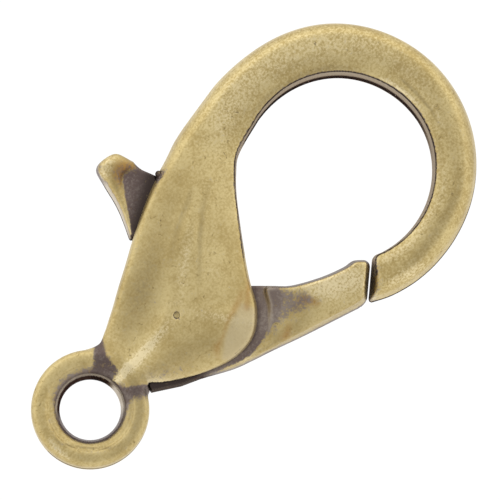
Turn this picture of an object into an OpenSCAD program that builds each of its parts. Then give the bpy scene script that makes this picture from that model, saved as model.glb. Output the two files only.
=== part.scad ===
// Lobster clasp: a cast body with an eye and a hook, and a sprung lever that closes the hook.
// Millimetres. The eye's bore centre is the origin, +X is the line of pull from the eye to the
// middle of the hook's loop, and +Z is the thickness. The clasp is the same above and below Z = 0.

/* [Hook] */
// Distance from the centre of the eye to the centre of the hook's loop
reach = 22; // [20:0.1:24.5]
// Inner diameter of the hook's loop
loop_d = 12; // [11:0.1:13.2]
// Width of the hook's bar where it is widest
bar_w = 3.5; // [3:0.1:4]
// Thickness of the hook's bar
bar_t = 4.1; // [3.6:0.1:4.8]
// Angle of the hook's end, counted at the inner edge from the line of pull
hook_end = -111; // [-113:1:-109]

/* [Belly] */
// Thickness of the belly at its keel
belly_t = 5.8; // [5.2:0.1:6.6]
// Gap between the lever and the pocket's end walls
pocket_gap = 0.25; // [0.15:0.05:0.35]

/* [Eye] */
// Diameter of the eye's bore
eye_bore_d = 3.9; // [3.4:0.1:4.4]
// Outer diameter of the eye's ring
eye_d = 7.55; // [6.8:0.05:8.4]
// Thickness of the eye's ring over its bead
eye_t = 3.3; // [3:0.1:3.7]
// Length of the straight wall in the bore, between its two flared mouths
eye_wall = 1.6; // [1.2:0.1:1.8]
// Widening of the bore at each flared mouth, on the radius
eye_flare = 0.22; // [0.1:0.02:0.3]

/* [Lever] */
// Diameter of the lever's hub round the pin
hub_d = 3; // [2.4:0.1:3.2]
// Thickness of the lever's plate inside the pocket
plate_t = 2.4; // [2.1:0.1:2.6]
// Gap between the plate and each flat side of the pocket
side_gap = 0.1; // [0.05:0.05:0.2]
// Thickness of the gate at its tip
gate_t = 4; // [3.4:0.1:4.6]
// Thickness of the thumb tab at its rounded end
tab_t = 3.4; // [3:0.1:4]
// Gap between the gate's tip and the hook's end when closed
tip_gap = 0.12; // [0.08:0.02:0.3]
// Angle that the lever turns to open the gate
open_angle = 18; // [12:1:18]

/* [Pin] */
// Diameter of the pivot pin
pin_d = 1; // [0.8:0.1:1.4]
// Running gap between the pin and the lever's bore, on the radius
pin_run = 0.05; // [0.02:0.01:0.08]
// Seating gap between the pin and the body's two bores, on the radius
pin_seat = 0.01; // [0.01:0.01:0.03]
// Depth of the pin's ends below the belly's face
pin_sink = 0.12; // [0.05:0.01:0.3]

/* [Spring] */
// Outer diameter of the spring
spring_d = 1.7; // [1.4:0.1:1.9]
// Diameter of the spring's wire
wire_d = 0.28; // [0.2:0.02:0.36]
// Turns of the spring
spring_turns = 5; // [4:1:6]
// Gap between the spring's coil and the lever's hub
coil_gap = 0.1; // [0.05:0.05:0.3]
// Gap between the spring and each of its seats
seat_gap = 0.02; // [0.01:0.01:0.05]

/* [Hidden] */

loop_r = loop_d / 2;
hook_out = loop_r + bar_w;
loop_centre = [reach, 0];
slot_t = plate_t + 2 * side_gap;
around = 20;        // points round a section
smooth_steps = 2;   // sections made for each row of a table
round_fn = 96;
antique_brass = [0.72, 0.64, 0.43];
spring_steel = [0.62, 0.62, 0.60];

// A place in the plan: x as a share of the reach, y as a share of the hook's outer radius.
function place(sx, sy) = [sx * reach, sy * hook_out];
function turned(p, angle, about) =
    let (d = p - about)
    about + [d.x * cos(angle) - d.y * sin(angle), d.x * sin(angle) + d.y * cos(angle)];
function away(p, about, gap) = p + gap * (p - about) / norm(p - about);
function polar(centre, radius, angle) = centre + radius * [cos(angle), sin(angle)];

pivot = place(0.368, 0.058);

// Section rows are [left x, left y, right x, right y, half thickness, squareness, crown]: a section
// stands upright between its left and right edge points. Its outline is a superellipse, lowered
// towards both edges by the crown's share of the thickness.
function section(row) =
    let (left = [row[0], row[1]], right = [row[2], row[3]],
         middle = (left + right) / 2, half = (left - right) / 2, power = 2 / row[5])
    [for (i = [0 : around - 1])
        let (angle = 360 * i / around, c = cos(angle), s = sin(angle),
             u = sign(c) * pow(abs(c), power),
             crown = 1 - row[6] * u * u,
             w = sign(s) * pow(abs(s), power),
             p = middle + u * half)
        [p.x, p.y, w * row[4] * crown]];

// A smooth curve through rows of numbers, with a few rows made between each two given ones.
function between(a, b, c, d, t) =
    0.5 * (2 * b + (c - a) * t + (2 * a - 5 * b + 4 * c - d) * t * t
           + (3 * b - a - 3 * c + d) * t * t * t);
function smooth_rows(rows) =
    let (last = len(rows) - 1)
    [for (i = [0 : last * smooth_steps])
        let (k = min(floor(i / smooth_steps), last - 1), t = i / smooth_steps - k,
             before = k == 0 ? 2 * rows[0] - rows[1] : rows[k - 1],
             after = k == last - 1 ? 2 * rows[last] - rows[last - 1] : rows[k + 2])
        between(before, rows[k], rows[k + 1], after, t)];

module skin(rows) {
    sections = [for (row = rows) section(row)];
    count = len(sections);
    points = [for (ring = sections) each ring];
    sides = [for (j = [0 : count - 2]) for (i = [0 : around - 1])
        let (a = j * around + i, b = j * around + (i + 1) % around,
             c = a + around, d = b + around)
        each [[a, c, b], [b, c, d]]];
    first_cap = [for (i = [0 : around - 1]) i];
    last_cap = [for (i = [around - 1 : -1 : 0]) (count - 1) * around + i];
    polyhedron(points = points, faces = concat([first_cap], sides, [last_cap]), convexity = 10);
}

// The hook's bar. Columns: angle from the line of pull, inner radius, bar width, bar thickness. They
// are shares of the loop's radius, bar_w and bar_t.
bar_table = [
    [-111, 0.975, 0.81, 0.97],
    [-80,  0.985, 0.77, 0.98],
    [-50,  0.995, 0.81, 1.00],
    [-20,  1.000, 0.87, 1.00],
    [15,   1.000, 0.96, 1.00],
    [50,   1.000, 1.00, 1.00],
    [85,   1.000, 0.99, 1.00],
    [106,  1.010, 1.04, 1.02]];
bar_start = 106;
bar_rows = 16;
bar_square = 3.2;
bar_crown = 0.12;
end_slant = 8;      // how much further round the end face is at the outer edge, in degrees
slant_share = 0.14; // share of the hook over which the slant fades
end_draft = 0.010;  // share of the hook over which its end tapers to the end face
end_thick = 0.62;   // thickness of the end face as a share of the bar's there
bar_inners = [for (row = bar_table) [row[0], row[1]]];
bar_widths = [for (row = bar_table) [row[0], row[2]]];
bar_thicks = [for (row = bar_table) [row[0], row[3]]];
function bar_row(share, thick) =
    let (angle = bar_start + share * (hook_end - bar_start),
         slant = end_slant * max(0, 1 - (1 - share) / slant_share),
         inner_r = loop_r * lookup(angle, bar_inners),
         outer = polar(loop_centre, inner_r + bar_w * lookup(angle, bar_widths), angle - slant),
         inner = polar(loop_centre, inner_r, angle))
    [outer.x, outer.y, inner.x, inner.y, thick * bar_t / 2 * lookup(angle, bar_thicks),
     bar_square, bar_crown];
hook_rows = concat(
    [for (i = [0 : bar_rows - 1]) bar_row(i / bar_rows, 1)],
    [bar_row(1 - end_draft, 1), bar_row(1, end_thick)]);

// The belly, from the eye up to the hook. Columns: left edge x and y, right edge x and y, half
// thickness, squareness, crown. x is a share of reach, y of the hook's outer radius and the
// thickness of half of belly_t.
belly_table = [
    [0.109, 0.275, 0.130, -0.130, 0.45, 4.0, 0.12],
    [0.132, 0.270, 0.160, -0.172, 0.54, 4.0, 0.16],
    [0.155, 0.267, 0.232, -0.262, 0.68, 4.4, 0.20],
    [0.182, 0.284, 0.314, -0.362, 0.83, 5.0, 0.24],
    [0.209, 0.319, 0.405, -0.430, 0.93, 5.5, 0.26],
    [0.248, 0.374, 0.484, -0.412, 0.98, 6.0, 0.27],
    [0.300, 0.448, 0.548, -0.294, 1.00, 6.0, 0.27],
    [0.360, 0.532, 0.594, -0.127, 1.00, 6.0, 0.27],
    [0.430, 0.625, 0.643, 0.037, 0.97, 6.0, 0.25],
    [0.502, 0.710, 0.692, 0.210, 0.93, 5.4, 0.22],
    [0.577, 0.792, 0.734, 0.355, 0.88, 4.8, 0.18],
    [0.655, 0.872, 0.775, 0.468, 0.82, 4.2, 0.15],
    [0.735, 0.940, 0.824, 0.556, 0.76, 3.6, 0.13]];
belly_rows = [for (row = belly_table)
    let (left = place(row[0], row[1]), right = place(row[2], row[3]))
    [left.x, left.y, right.x, right.y, row[4] * belly_t / 2, row[5], row[6]]];

// The eye's ring, as shares: columns are the radius between the bore's mouth and the outside, and
// the height as a share of half of eye_t. It dips at the mouth, has a groove and an outer bead.
ring_table = [
    [0.00, 0.66],
    [0.30, 0.84],
    [0.42, 0.84],
    [0.56, 0.97],
    [0.68, 1.00],
    [0.80, 0.95],
    [0.91, 0.78],
    [0.98, 0.50],
    [1.00, 0.20]];
mouth_r = eye_bore_d / 2 + eye_flare;
ring_half = [for (row = ring_table)
    [mouth_r + row[0] * (eye_d / 2 - mouth_r), row[1] * eye_t / 2]];
ring_core = eye_bore_d / 4;   // the ring starts inside the bore, which is cut from it afterwards
mouth_z = ring_table[0][1] * eye_t / 2;

module eye_ring() {
    last = len(ring_half) - 1;
    rotate_extrude($fn = round_fn)
        polygon(concat(
            [[ring_core, ring_half[0].y]], ring_half,
            [for (i = [last : -1 : 0]) [ring_half[i].x, -ring_half[i].y]],
            [[ring_core, -ring_half[0].y]]));
}

module eye_bore() {
    wall_r = eye_bore_d / 2;
    top = belly_t / 2;
    flare_slope = eye_flare / (mouth_z - eye_wall / 2);
    top_r = wall_r + flare_slope * (top - eye_wall / 2);
    rotate_extrude($fn = round_fn)
        polygon([
            [0, -top], [top_r, -top], [wall_r, -eye_wall / 2],
            [wall_r, eye_wall / 2], [top_r, top], [0, top]]);
}

// The lever's plate, as plan shares. The inner side faces the hook and the outer side the eye.
plate_inner = [
    place(0.605, 0.820),   // the slot's upper end
    place(0.495, 0.423),
    place(0.468, 0.212),   // inner corner
    place(0.527, -0.032),
    place(0.606, -0.206)]; // the gate's root
plate_gate = [
    place(0.655, -0.340),
    place(0.665, -0.560),
    place(0.500, -0.545),
    place(0.378, -0.465),
    place(0.308, -0.392)]; // the plate's lowest corner
plate_hub = [place(0.296, -0.170), place(0.302, 0.030)];
plate_tab = [
    place(0.425, 0.617),
    place(0.461, 0.857),
    place(0.494, 1.050),
    place(0.527, 1.090),
    place(0.573, 1.055),
    place(0.601, 0.965)];
hub_r = hub_d / 2;
pin_r = pin_d / 2;

// The spring runs past the hub, from a flat on the pocket's eye wall to a flat on the lever's heel.
spring_angle = 25;
foot_back = 0.117 * reach;
spring_len = 0.142 * reach;
spring_dir = [cos(spring_angle), sin(spring_angle)];
spring_side = [-sin(spring_angle), cos(spring_angle)];
spring_foot = pivot + (hub_r + coil_gap + spring_d / 2) * spring_side - foot_back * spring_dir;
spring_head = spring_foot + spring_len * spring_dir;
seat_half = spring_d / 2;
heel_seat = [spring_head + seat_half * spring_side, spring_head - seat_half * spring_side];
wall_seat = [spring_foot + seat_half * spring_side, spring_foot - seat_half * spring_side];

module lever_plate() {
    linear_extrude(height = plate_t, center = true)
        polygon(concat(plate_inner, plate_gate, plate_hub, [heel_seat[1], heel_seat[0]], plate_tab));
    translate([pivot.x, pivot.y, -plate_t / 2]) cylinder(h = plate_t, r = hub_r, $fn = round_fn);
}

gate_square = 3.0;
gate_crown = 0.10;
// The gate outside the belly. Columns: upper edge x and y, lower edge x and y as plan shares, half
// thickness as a share of half of gate_t.
gate_table = [
    [0.365, -0.435, 0.360, -0.450, 0.45],
    [0.447, -0.475, 0.438, -0.526, 0.52],
    [0.513, -0.440, 0.500, -0.575, 0.62],
    [0.566, -0.335, 0.560, -0.621, 0.72],
    [0.606, -0.212, 0.611, -0.656, 0.80],
    [0.667, -0.328, 0.667, -0.692, 0.88],
    [0.744, -0.436, 0.722, -0.724, 0.94],
    [0.812, -0.498, 0.765, -0.748, 0.98]];
// The gate's tip follows the hook's end face. Columns: upper and lower edge, each as its distance
// along the face from the hook's inner edge and its distance in front of the face past tip_gap, both
// as shares of bar_w, then the half thickness as above.
tip_table = [
    [-0.060, 0.260, -0.900, 0.210, 0.99],
    [-0.080, 0.120, -0.870, 0.090, 0.95],
    [-0.150, 0.000, -0.810, 0.000, 0.62]];
end_row = hook_rows[len(hook_rows) - 1];
end_inner = [end_row[2], end_row[3]];
end_outer = [end_row[0], end_row[1]];
end_along = (end_inner - end_outer) / norm(end_inner - end_outer);
end_front = [-end_along.y, end_along.x];
function by_end(along, front) =
    end_inner + along * bar_w * end_along + (tip_gap + front * bar_w) * end_front;
gate_rows = concat(
    [for (row = gate_table)
        let (upper = place(row[0], row[1]), lower = place(row[2], row[3]))
        [upper.x, upper.y, lower.x, lower.y, row[4] * gate_t / 2, gate_square, gate_crown]],
    [for (row = tip_table)
        let (upper = by_end(row[0], row[1]), lower = by_end(row[2], row[3]))
        [upper.x, upper.y, lower.x, lower.y, row[4] * gate_t / 2, gate_square, gate_crown]]);

tab_square = 2.6;
tab_crown = 0.05;
// The thumb tab's raised rim and rounded end. Columns: outer edge x and y, inner edge x and y as
// plan shares, half thickness as a share of half of tab_t.
tab_table = [
    [0.425, 0.640, 0.440, 0.650, 0.50],
    [0.446, 0.760, 0.475, 0.770, 0.66],
    [0.462, 0.880, 0.503, 0.880, 0.80],
    [0.479, 1.020, 0.528, 0.960, 0.92],
    [0.495, 1.130, 0.545, 0.985, 1.00],
    [0.530, 1.165, 0.558, 0.985, 1.00],
    [0.570, 1.125, 0.568, 0.975, 0.90],
    [0.598, 1.010, 0.580, 0.950, 0.74]];
tab_rows = [for (row = tab_table)
    let (outer = place(row[0], row[1]), inner = place(row[2], row[3]))
    [outer.x, outer.y, inner.x, inner.y, row[4] * tab_t / 2, tab_square, tab_crown]];

// The pocket clears the lever where it stands closed and where it stands open.
wall_gap = pocket_gap + side_gap;
cut_run = bar_w / 2;   // how far the pocket runs on past the belly's open edges
opened_gate = [for (p = [plate_inner[3], plate_inner[4]]) turned(p, open_angle, pivot)];
opened_run = (opened_gate[1] - opened_gate[0]) / norm(opened_gate[1] - opened_gate[0]);
opened_up = wall_gap * [-opened_run.y, opened_run.x];
pocket_outline = [
    place(0.66, 1.00),
    away(plate_inner[0], pivot, pocket_gap),
    away(plate_inner[1], pivot, wall_gap),
    away(plate_inner[2], pivot, wall_gap),
    opened_gate[0] + opened_up,
    opened_gate[1] + opened_up,
    opened_gate[1] + opened_up + cut_run * opened_run,
    place(0.66, -0.60),
    place(0.20, -0.60),
    place(0.163, -0.235),
    place(0.205, -0.060),
    wall_seat[1] - wall_gap * spring_side,
    wall_seat[0] + wall_gap * spring_side,
    wall_seat[0] + cut_run * spring_side];

module body() {
    color(antique_brass)
    difference() {
        union() {
            skin(smooth_rows(concat(belly_rows, hook_rows)));
            eye_ring();
        }
        eye_bore();
        linear_extrude(height = slot_t, center = true) polygon(pocket_outline);
        translate([pivot.x, pivot.y, -belly_t])
            cylinder(h = 2 * belly_t, r = pin_r + pin_seat, $fn = round_fn);
    }
}

module lever() {
    color(antique_brass)
    difference() {
        union() {
            lever_plate();
            skin(smooth_rows(gate_rows));
            skin(smooth_rows(tab_rows));
        }
        translate([pivot.x, pivot.y, -plate_t])
            cylinder(h = 2 * plate_t, r = pin_r + pin_run, $fn = round_fn);
    }
}

module pivot_pin() {
    face_share = 0.97;  // the belly's thickness at the pivot as a share of belly_t
    pin_len = face_share * belly_t - 2 * pin_sink;
    color(antique_brass)
    translate([pivot.x, pivot.y, -pin_len / 2]) cylinder(h = pin_len, r = pin_r, $fn = round_fn);
}

module spring() {
    wire_sides = 6;
    rings_per_turn = 12;
    coil_r = (spring_d - wire_d) / 2;
    coil_len = spring_len - 2 * seat_gap - wire_d;
    rings = spring_turns * rings_per_turn;
    points = [for (j = [0 : rings]) for (i = [0 : wire_sides - 1])
        let (turn = 360 * j / rings_per_turn, around_wire = 360 * i / wire_sides,
             r = coil_r + wire_d / 2 * cos(around_wire),
             z = coil_len * j / rings + wire_d / 2 * (1 + sin(around_wire)))
        [r * cos(turn), r * sin(turn), z]];
    sides = [for (j = [0 : rings - 1]) for (i = [0 : wire_sides - 1])
        let (a = j * wire_sides + i, b = j * wire_sides + (i + 1) % wire_sides,
             c = a + wire_sides, d = b + wire_sides)
        each [[a, b, c], [b, d, c]]];
    first_cap = [for (i = [wire_sides - 1 : -1 : 0]) i];
    last_cap = [for (i = [0 : wire_sides - 1]) rings * wire_sides + i];
    color(spring_steel)
    translate([spring_foot.x, spring_foot.y, 0])
    rotate([0, 0, spring_angle]) rotate([0, 90, 0]) translate([0, 0, seat_gap])
        polyhedron(points = points, faces = concat([first_cap], sides, [last_cap]), convexity = 10);
}

body();
lever();
pivot_pin();
spring();
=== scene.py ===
"""Lobster clasp in antique brass: the looks of its cast body, sprung lever, pivot pin and spring.

Sizes are millimetres in the clasp's own frame, and each mesh is turned to metres when it is made.
The two castings are solids between z = -H(x, y) and z = +H(x, y) over a plan. Their outlines,
face heights and drafted walls are functions on the plan's grid, joined with rounded edges and
fillets, and one skin is taken where the joined function is nought. The pin is a profile turned
round its axis and the spring a round wire carried along a helix.
"""

import logging
import math
from collections.abc import Callable, Sequence
from dataclasses import dataclass
from enum import Enum

import bmesh
import bpy
import numpy as np
from mathutils import Matrix, Vector
from numpy.typing import NDArray


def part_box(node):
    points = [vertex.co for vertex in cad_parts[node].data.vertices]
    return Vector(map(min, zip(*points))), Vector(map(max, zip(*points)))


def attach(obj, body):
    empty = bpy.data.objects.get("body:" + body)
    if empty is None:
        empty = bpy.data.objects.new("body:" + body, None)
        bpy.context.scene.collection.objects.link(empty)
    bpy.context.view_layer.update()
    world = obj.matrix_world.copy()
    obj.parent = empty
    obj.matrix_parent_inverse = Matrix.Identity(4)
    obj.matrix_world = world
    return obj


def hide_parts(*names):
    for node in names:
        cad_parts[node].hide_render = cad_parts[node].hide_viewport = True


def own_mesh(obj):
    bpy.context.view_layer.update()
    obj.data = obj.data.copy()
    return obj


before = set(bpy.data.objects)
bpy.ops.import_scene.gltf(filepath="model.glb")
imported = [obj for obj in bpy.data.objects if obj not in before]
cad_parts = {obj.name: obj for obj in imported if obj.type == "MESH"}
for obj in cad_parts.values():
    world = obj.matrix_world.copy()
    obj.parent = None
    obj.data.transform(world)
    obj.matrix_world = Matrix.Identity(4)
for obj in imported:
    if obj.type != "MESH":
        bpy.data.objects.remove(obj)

Array = NDArray[np.float64]
Value = Callable[[Array, Array, Array], Array]
Socket = bpy.types.NodeSocket
MM = 0.001
TINY = 1e-9
REACH = 22.0  # from the eye's centre to the loop's, along the line of pull
HALF_THICK, CROWN = 4, 5  # a strip's further columns
RUB_DEPTHS = (0.12, 0.25, 0.5)
SMOOTH = {"interpolation_type": "SMOOTHSTEP"}
log = logging.getLogger("lobster_clasp")


def round_and(a: Array, b: Array, radius: Array | float) -> Array:
    """Keeps what is inside both a and b, and rounds the edge where their faces meet.

    Formula: the larger of the two distances, and within one radius of both faces the length of
    (a + radius, b + radius) less the radius, which is a quarter circle.

    Args:
        a: signed distance, negative inside.
        b: signed distance, negative inside.
        radius: radius of the rounded edge.

    Returns:
        The signed distance of the part inside both.
    """
    corner = np.hypot(np.maximum(a + radius, 0.0), np.maximum(b + radius, 0.0))
    return np.minimum(np.maximum(a, b), -radius) + corner


def round_or(a: Array, b: Array, radius: Array | float) -> Array:
    """Joins a and b, with a fillet of one radius in the hollow where they meet.

    Args:
        a: signed distance, negative inside.
        b: signed distance, negative inside.
        radius: radius of the fillet.

    Returns:
        The signed distance of the joined part.
    """
    return -round_and(-a, -b, radius)


def ramp(value: Array, low: float, high: float) -> Array:
    """A smooth step from 0 at low to 1 at high (3t^2 - 2t^3)."""
    t = np.clip((value - low) / (high - low), 0.0, 1.0)
    return t * t * (3.0 - 2.0 * t)


def smooth_rows(rows: Array, spans: int) -> Array:
    """A Catmull-Rom curve through rows of numbers.

    Args:
        rows: one row for each given point.
        spans: how many rows are made for each step between two given ones.

    Returns:
        The denser rows, with the given ones among them.
    """
    padded = np.vstack([2 * rows[0] - rows[1], rows, 2 * rows[-1] - rows[-2]])
    place = np.linspace(0, len(rows) - 1, (len(rows) - 1) * spans + 1)
    k = np.minimum(place.astype(int), len(rows) - 2)
    t = (place - k)[:, None]
    a, b, c, d = padded[k], padded[k + 1], padded[k + 2], padded[k + 3]
    return 0.5 * (2 * b + (c - a) * t + (2 * a - 5 * b + 4 * c - d) * t**2
                  + (3 * b - a - 3 * c + d) * t**3)


@dataclass(frozen=True)
class PlanGrid:
    """Square nodes over the plan, from low to high, one step apart."""

    low: tuple[float, float]
    high: tuple[float, float]
    step: float = 0.1

    def nodes(self) -> tuple[Array, Array]:
        """The places of the nodes.

        Returns:
            Their x and their y, each as a two-dimensional array.
        """
        x = np.arange(self.low[0], self.high[0], self.step)
        y = np.arange(self.low[1], self.high[1], self.step)
        return np.meshgrid(x, y, indexing="ij")


class PlanMap:
    """A number for each place of the plan, kept on a grid and read between its nodes."""

    def __init__(self, grid: PlanGrid, values: Array) -> None:
        """Keeps the values of the grid's nodes.

        Args:
            grid: the nodes.
            values: one number for each node.
        """
        self.grid = grid
        self.values = values

    def _weights(self, place: Array, low: float, count: int) -> tuple[NDArray[np.int64], list[Array]]:
        """The four nodes round a place in one direction.

        Formula: Catmull-Rom weights of the share t of the step between the middle two nodes.

        Args:
            place: places along that direction.
            low: the grid's first node.
            count: how many nodes it has.

        Returns:
            The first node's number and the four nodes' weights.
        """
        share = (place - low) / self.grid.step
        k = np.clip(np.floor(share).astype(int), 1, count - 3)
        t = np.clip(share - k, 0.0, 1.0)
        weights = [0.5 * (-t**3 + 2 * t**2 - t), 0.5 * (3 * t**3 - 5 * t**2 + 2),
                   0.5 * (-3 * t**3 + 4 * t**2 + t), 0.5 * (t**3 - t**2)]
        return k - 1, weights

    def __call__(self, x: Array, y: Array) -> Array:
        """Reads the map, by cubic interpolation over four by four nodes.

        Args:
            x: places' x.
            y: places' y.

        Returns:
            The map's value at each place.
        """
        ix, wx = self._weights(x, self.grid.low[0], self.values.shape[0])
        iy, wy = self._weights(y, self.grid.low[1], self.values.shape[1])
        total = 0.0
        for i in range(4):
            for j in range(4):
                total = total + wx[i] * wy[j] * self.values[ix + i, iy + j]
        return total


def outline_distance(outline: Array, x: Array, y: Array) -> Array:
    """Signed distance to a closed outline, positive inside.

    Formula: the distance to the nearest side, with the sign of the even-odd rule.

    Args:
        outline: the outline's points, in order.
        x: where to measure.
        y: where to measure.

    Returns:
        The distance for each place.
    """
    nearest = np.full(x.shape, np.inf)
    inside = np.zeros(x.shape, bool)
    for (ax, ay), (bx, by) in zip(outline, np.roll(outline, -1, axis=0)):
        dx, dy = bx - ax, by - ay
        t = np.clip(((x - ax) * dx + (y - ay) * dy) / max(dx * dx + dy * dy, TINY), 0.0, 1.0)
        nearest = np.minimum(nearest, (x - ax - t * dx) ** 2 + (y - ay - t * dy) ** 2)
        if ay != by:
            inside ^= ((ay > y) != (by > y)) & (x < dx * (y - ay) / dy + ax)
    return np.where(inside, 1.0, -1.0) * np.sqrt(nearest)


@dataclass(frozen=True)
class Stroke:
    """A soft stroke along a path: a low ridge or groove in a face, a change in its finish, or painted light
    or shade.

    Formula: strength times exp(-(distance to the path / width)^2), with the strength and the width
    of the path's nearest point. Columns of the path: x, y, strength, width.
    """

    path: tuple[tuple[float, float, float, float], ...]

    def strength(self, x: Array, y: Array) -> Array:
        """How strong the stroke is.

        Args:
            x: places' x.
            y: places' y.

        Returns:
            The strength at each place.
        """
        rows = smooth_rows(np.array(self.path), spans=5)
        nearest = np.full(x.shape, np.inf)
        strong, wide = np.zeros(x.shape), np.ones(x.shape)
        for (ax, ay, ah, aw), (bx, by, bh, bw) in zip(rows[:-1], rows[1:]):
            dx, dy = bx - ax, by - ay
            t = np.clip(((x - ax) * dx + (y - ay) * dy) / (dx * dx + dy * dy), 0.0, 1.0)
            d = (x - ax - t * dx) ** 2 + (y - ay - t * dy) ** 2
            closer = d < nearest
            nearest = np.where(closer, d, nearest)
            strong = np.where(closer, ah + t * (bh - ah), strong)
            wide = np.where(closer, aw + t * (bw - aw), wide)
        return strong * np.exp(-nearest / wide**2)


@dataclass(frozen=True)
class Patch:
    """A soft-edged patch with a many-sided outline, where a face's finish changes or painted shade lies.

    Formula: strength times a smooth step of the distance to the outline, from 0 at half the softness
    outside it to 1 at half the softness inside.
    """

    outline: tuple[tuple[float, float], ...]
    strong: float = 1.0
    soft: float = 0.5

    def strength(self, x: Array, y: Array) -> Array:
        """The patch's strength at x and y."""
        inside = outline_distance(np.array(self.outline), x, y)
        return self.strong * ramp(inside, -self.soft / 2, self.soft / 2)


def strongest(marks: Sequence[Stroke | Patch], x: Array, y: Array) -> Array:
    """The strongest of some strokes and patches at each place."""
    return np.max([mark.strength(x, y) for mark in marks], axis=0)


def round_about(stations: Sequence[tuple[float, float, float, float]], centre: float = REACH) -> Stroke:
    """A stroke round the loop's centre, or round another point on the line of pull.

    Args:
        stations: its angle from the line of pull, radius, strength and width at each point.
        centre: that point's x.

    Returns:
        The stroke.
    """
    return Stroke(tuple((centre + radius * math.cos(math.radians(a)), radius * math.sin(math.radians(a)),
                         strength, width) for a, radius, strength, width in stations))


class Loft:
    """A strip of the plan between a left and a right edge, with numbers that change along it.

    Columns of its rows: left x and y, right x and y, then any further numbers.
    """

    def __init__(self, rows: Sequence[Sequence[float]], spans: int) -> None:
        """Makes the dense rows.

        Args:
            rows: the given rows.
            spans: how many rows are made for each step between two given ones.
        """
        self.rows = smooth_rows(np.array(rows, float), spans)

    def outline(self) -> Array:
        """The strip's closed outline: up the left edge and back down the right one."""
        return np.vstack([self.rows[:, 0:2], self.rows[::-1, 2:4]])

    def locate(self, x: Array, y: Array) -> tuple[Array, Array]:
        """Where places lie in the strip.

        Formula: the row whose line is nearest, shared between two rows by the distances to their
        lines, and the share of the way across it.

        Args:
            x: places' x.
            y: places' y.

        Returns:
            The row's number as a broken number, and u from 1 at the left edge to -1 at the right.
        """
        left, across = self.rows[:, 0:2], self.rows[:, 2:4] - self.rows[:, 0:2]
        length2 = (across**2).sum(1)
        nearest = np.full(x.shape, np.inf)
        index = np.zeros(x.shape, int)
        for k, ((lx, ly), (dx, dy)) in enumerate(zip(left, across)):
            t = np.clip(((x - lx) * dx + (y - ly) * dy) / length2[k], 0.0, 1.0)
            d = (x - lx - t * dx) ** 2 + (y - ly - t * dy) ** 2
            closer = d < nearest
            nearest = np.where(closer, d, nearest)
            index = np.where(closer, k, index)

        def beside(k: NDArray[np.int64]) -> tuple[Array, Array]:
            """Where each place lies by a row.

            Args:
                k: the row's number for each place.

            Returns:
                The distance ahead of the row's line, and the share of the way across it.
            """
            px, py = x - left[k, 0], y - left[k, 1]
            dx, dy = across[k, 0], across[k, 1]
            return (px * dy - py * dx) / np.sqrt(length2[k]), (px * dx + py * dy) / length2[k]

        ahead, share = beside(index)
        side = self._travel_sign()
        other = np.clip(index + np.where(ahead * side > 0, 1, -1), 0, len(self.rows) - 1)
        ahead2, share2 = beside(other)
        gap = ahead - ahead2
        part = np.clip(np.where(np.abs(gap) > TINY, ahead / np.where(gap == 0, 1, gap), 0.0), 0.0, 1.0)
        return index + part * (other - index), 1.0 - 2.0 * (share + part * (share2 - share))

    def _travel_sign(self) -> float:
        """Which way the rows travel.

        Returns:
            1 if it is to the side where the distance ahead is positive, or else -1.
        """
        step = self.rows[1, 0:2] - self.rows[0, 0:2] + self.rows[1, 2:4] - self.rows[0, 2:4]
        across = self.rows[0, 2:4] - self.rows[0, 0:2]
        return 1.0 if step[0] * across[1] - step[1] * across[0] > 0 else -1.0

    def column(self, number: int, row: Array) -> Array:
        """A column's number at a broken row number."""
        return np.interp(row, np.arange(len(self.rows)), self.rows[:, number])


@dataclass(frozen=True)
class Waviness:
    """The slight unevenness of a tumbled casting's faces.

    Formula: seeded random heights on a coarse grid, joined by cubic interpolation.
    """

    height: float
    spacing: float
    seed: int

    def height_map(self, grid: PlanGrid) -> Array:
        """Works the heights out.

        Args:
            grid: the plan's nodes.

        Returns:
            The height at each node.
        """
        margin = 3 * self.spacing
        coarse = PlanGrid((grid.low[0] - margin, grid.low[1] - margin),
                          (grid.high[0] + margin, grid.high[1] + margin), self.spacing)
        x, _ = coarse.nodes()
        heights = np.random.default_rng(self.seed).uniform(-1.0, 1.0, x.shape)
        return self.height * PlanMap(coarse, heights)(*grid.nodes())


def rounded_end(before: Array, last: Array, radius: float) -> list[Array]:
    """Rounds the two corners of a strip's end.

    Formula: rows that step back along each edge and in from it as a quarter circle does.

    Args:
        before: the strip's last row but one.
        last: its last row.
        radius: the corners' radius.

    Returns:
        The rows that take the last one's place.
    """
    along = (last[2:4] - last[0:2]) / np.linalg.norm(last[2:4] - last[0:2])
    rows = []
    for turn in np.radians((0, 25, 50, 72, 90)):
        row = last.copy()
        inset, step = radius * (1 - math.cos(turn)), radius * (1 - math.sin(turn))
        for edge, way in ((slice(0, 2), along), (slice(2, 4), -along)):
            back = before[edge] - last[edge]
            row[edge] += inset * way + step * back / np.linalg.norm(back)
        rows.append(row)
    return rows


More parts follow.
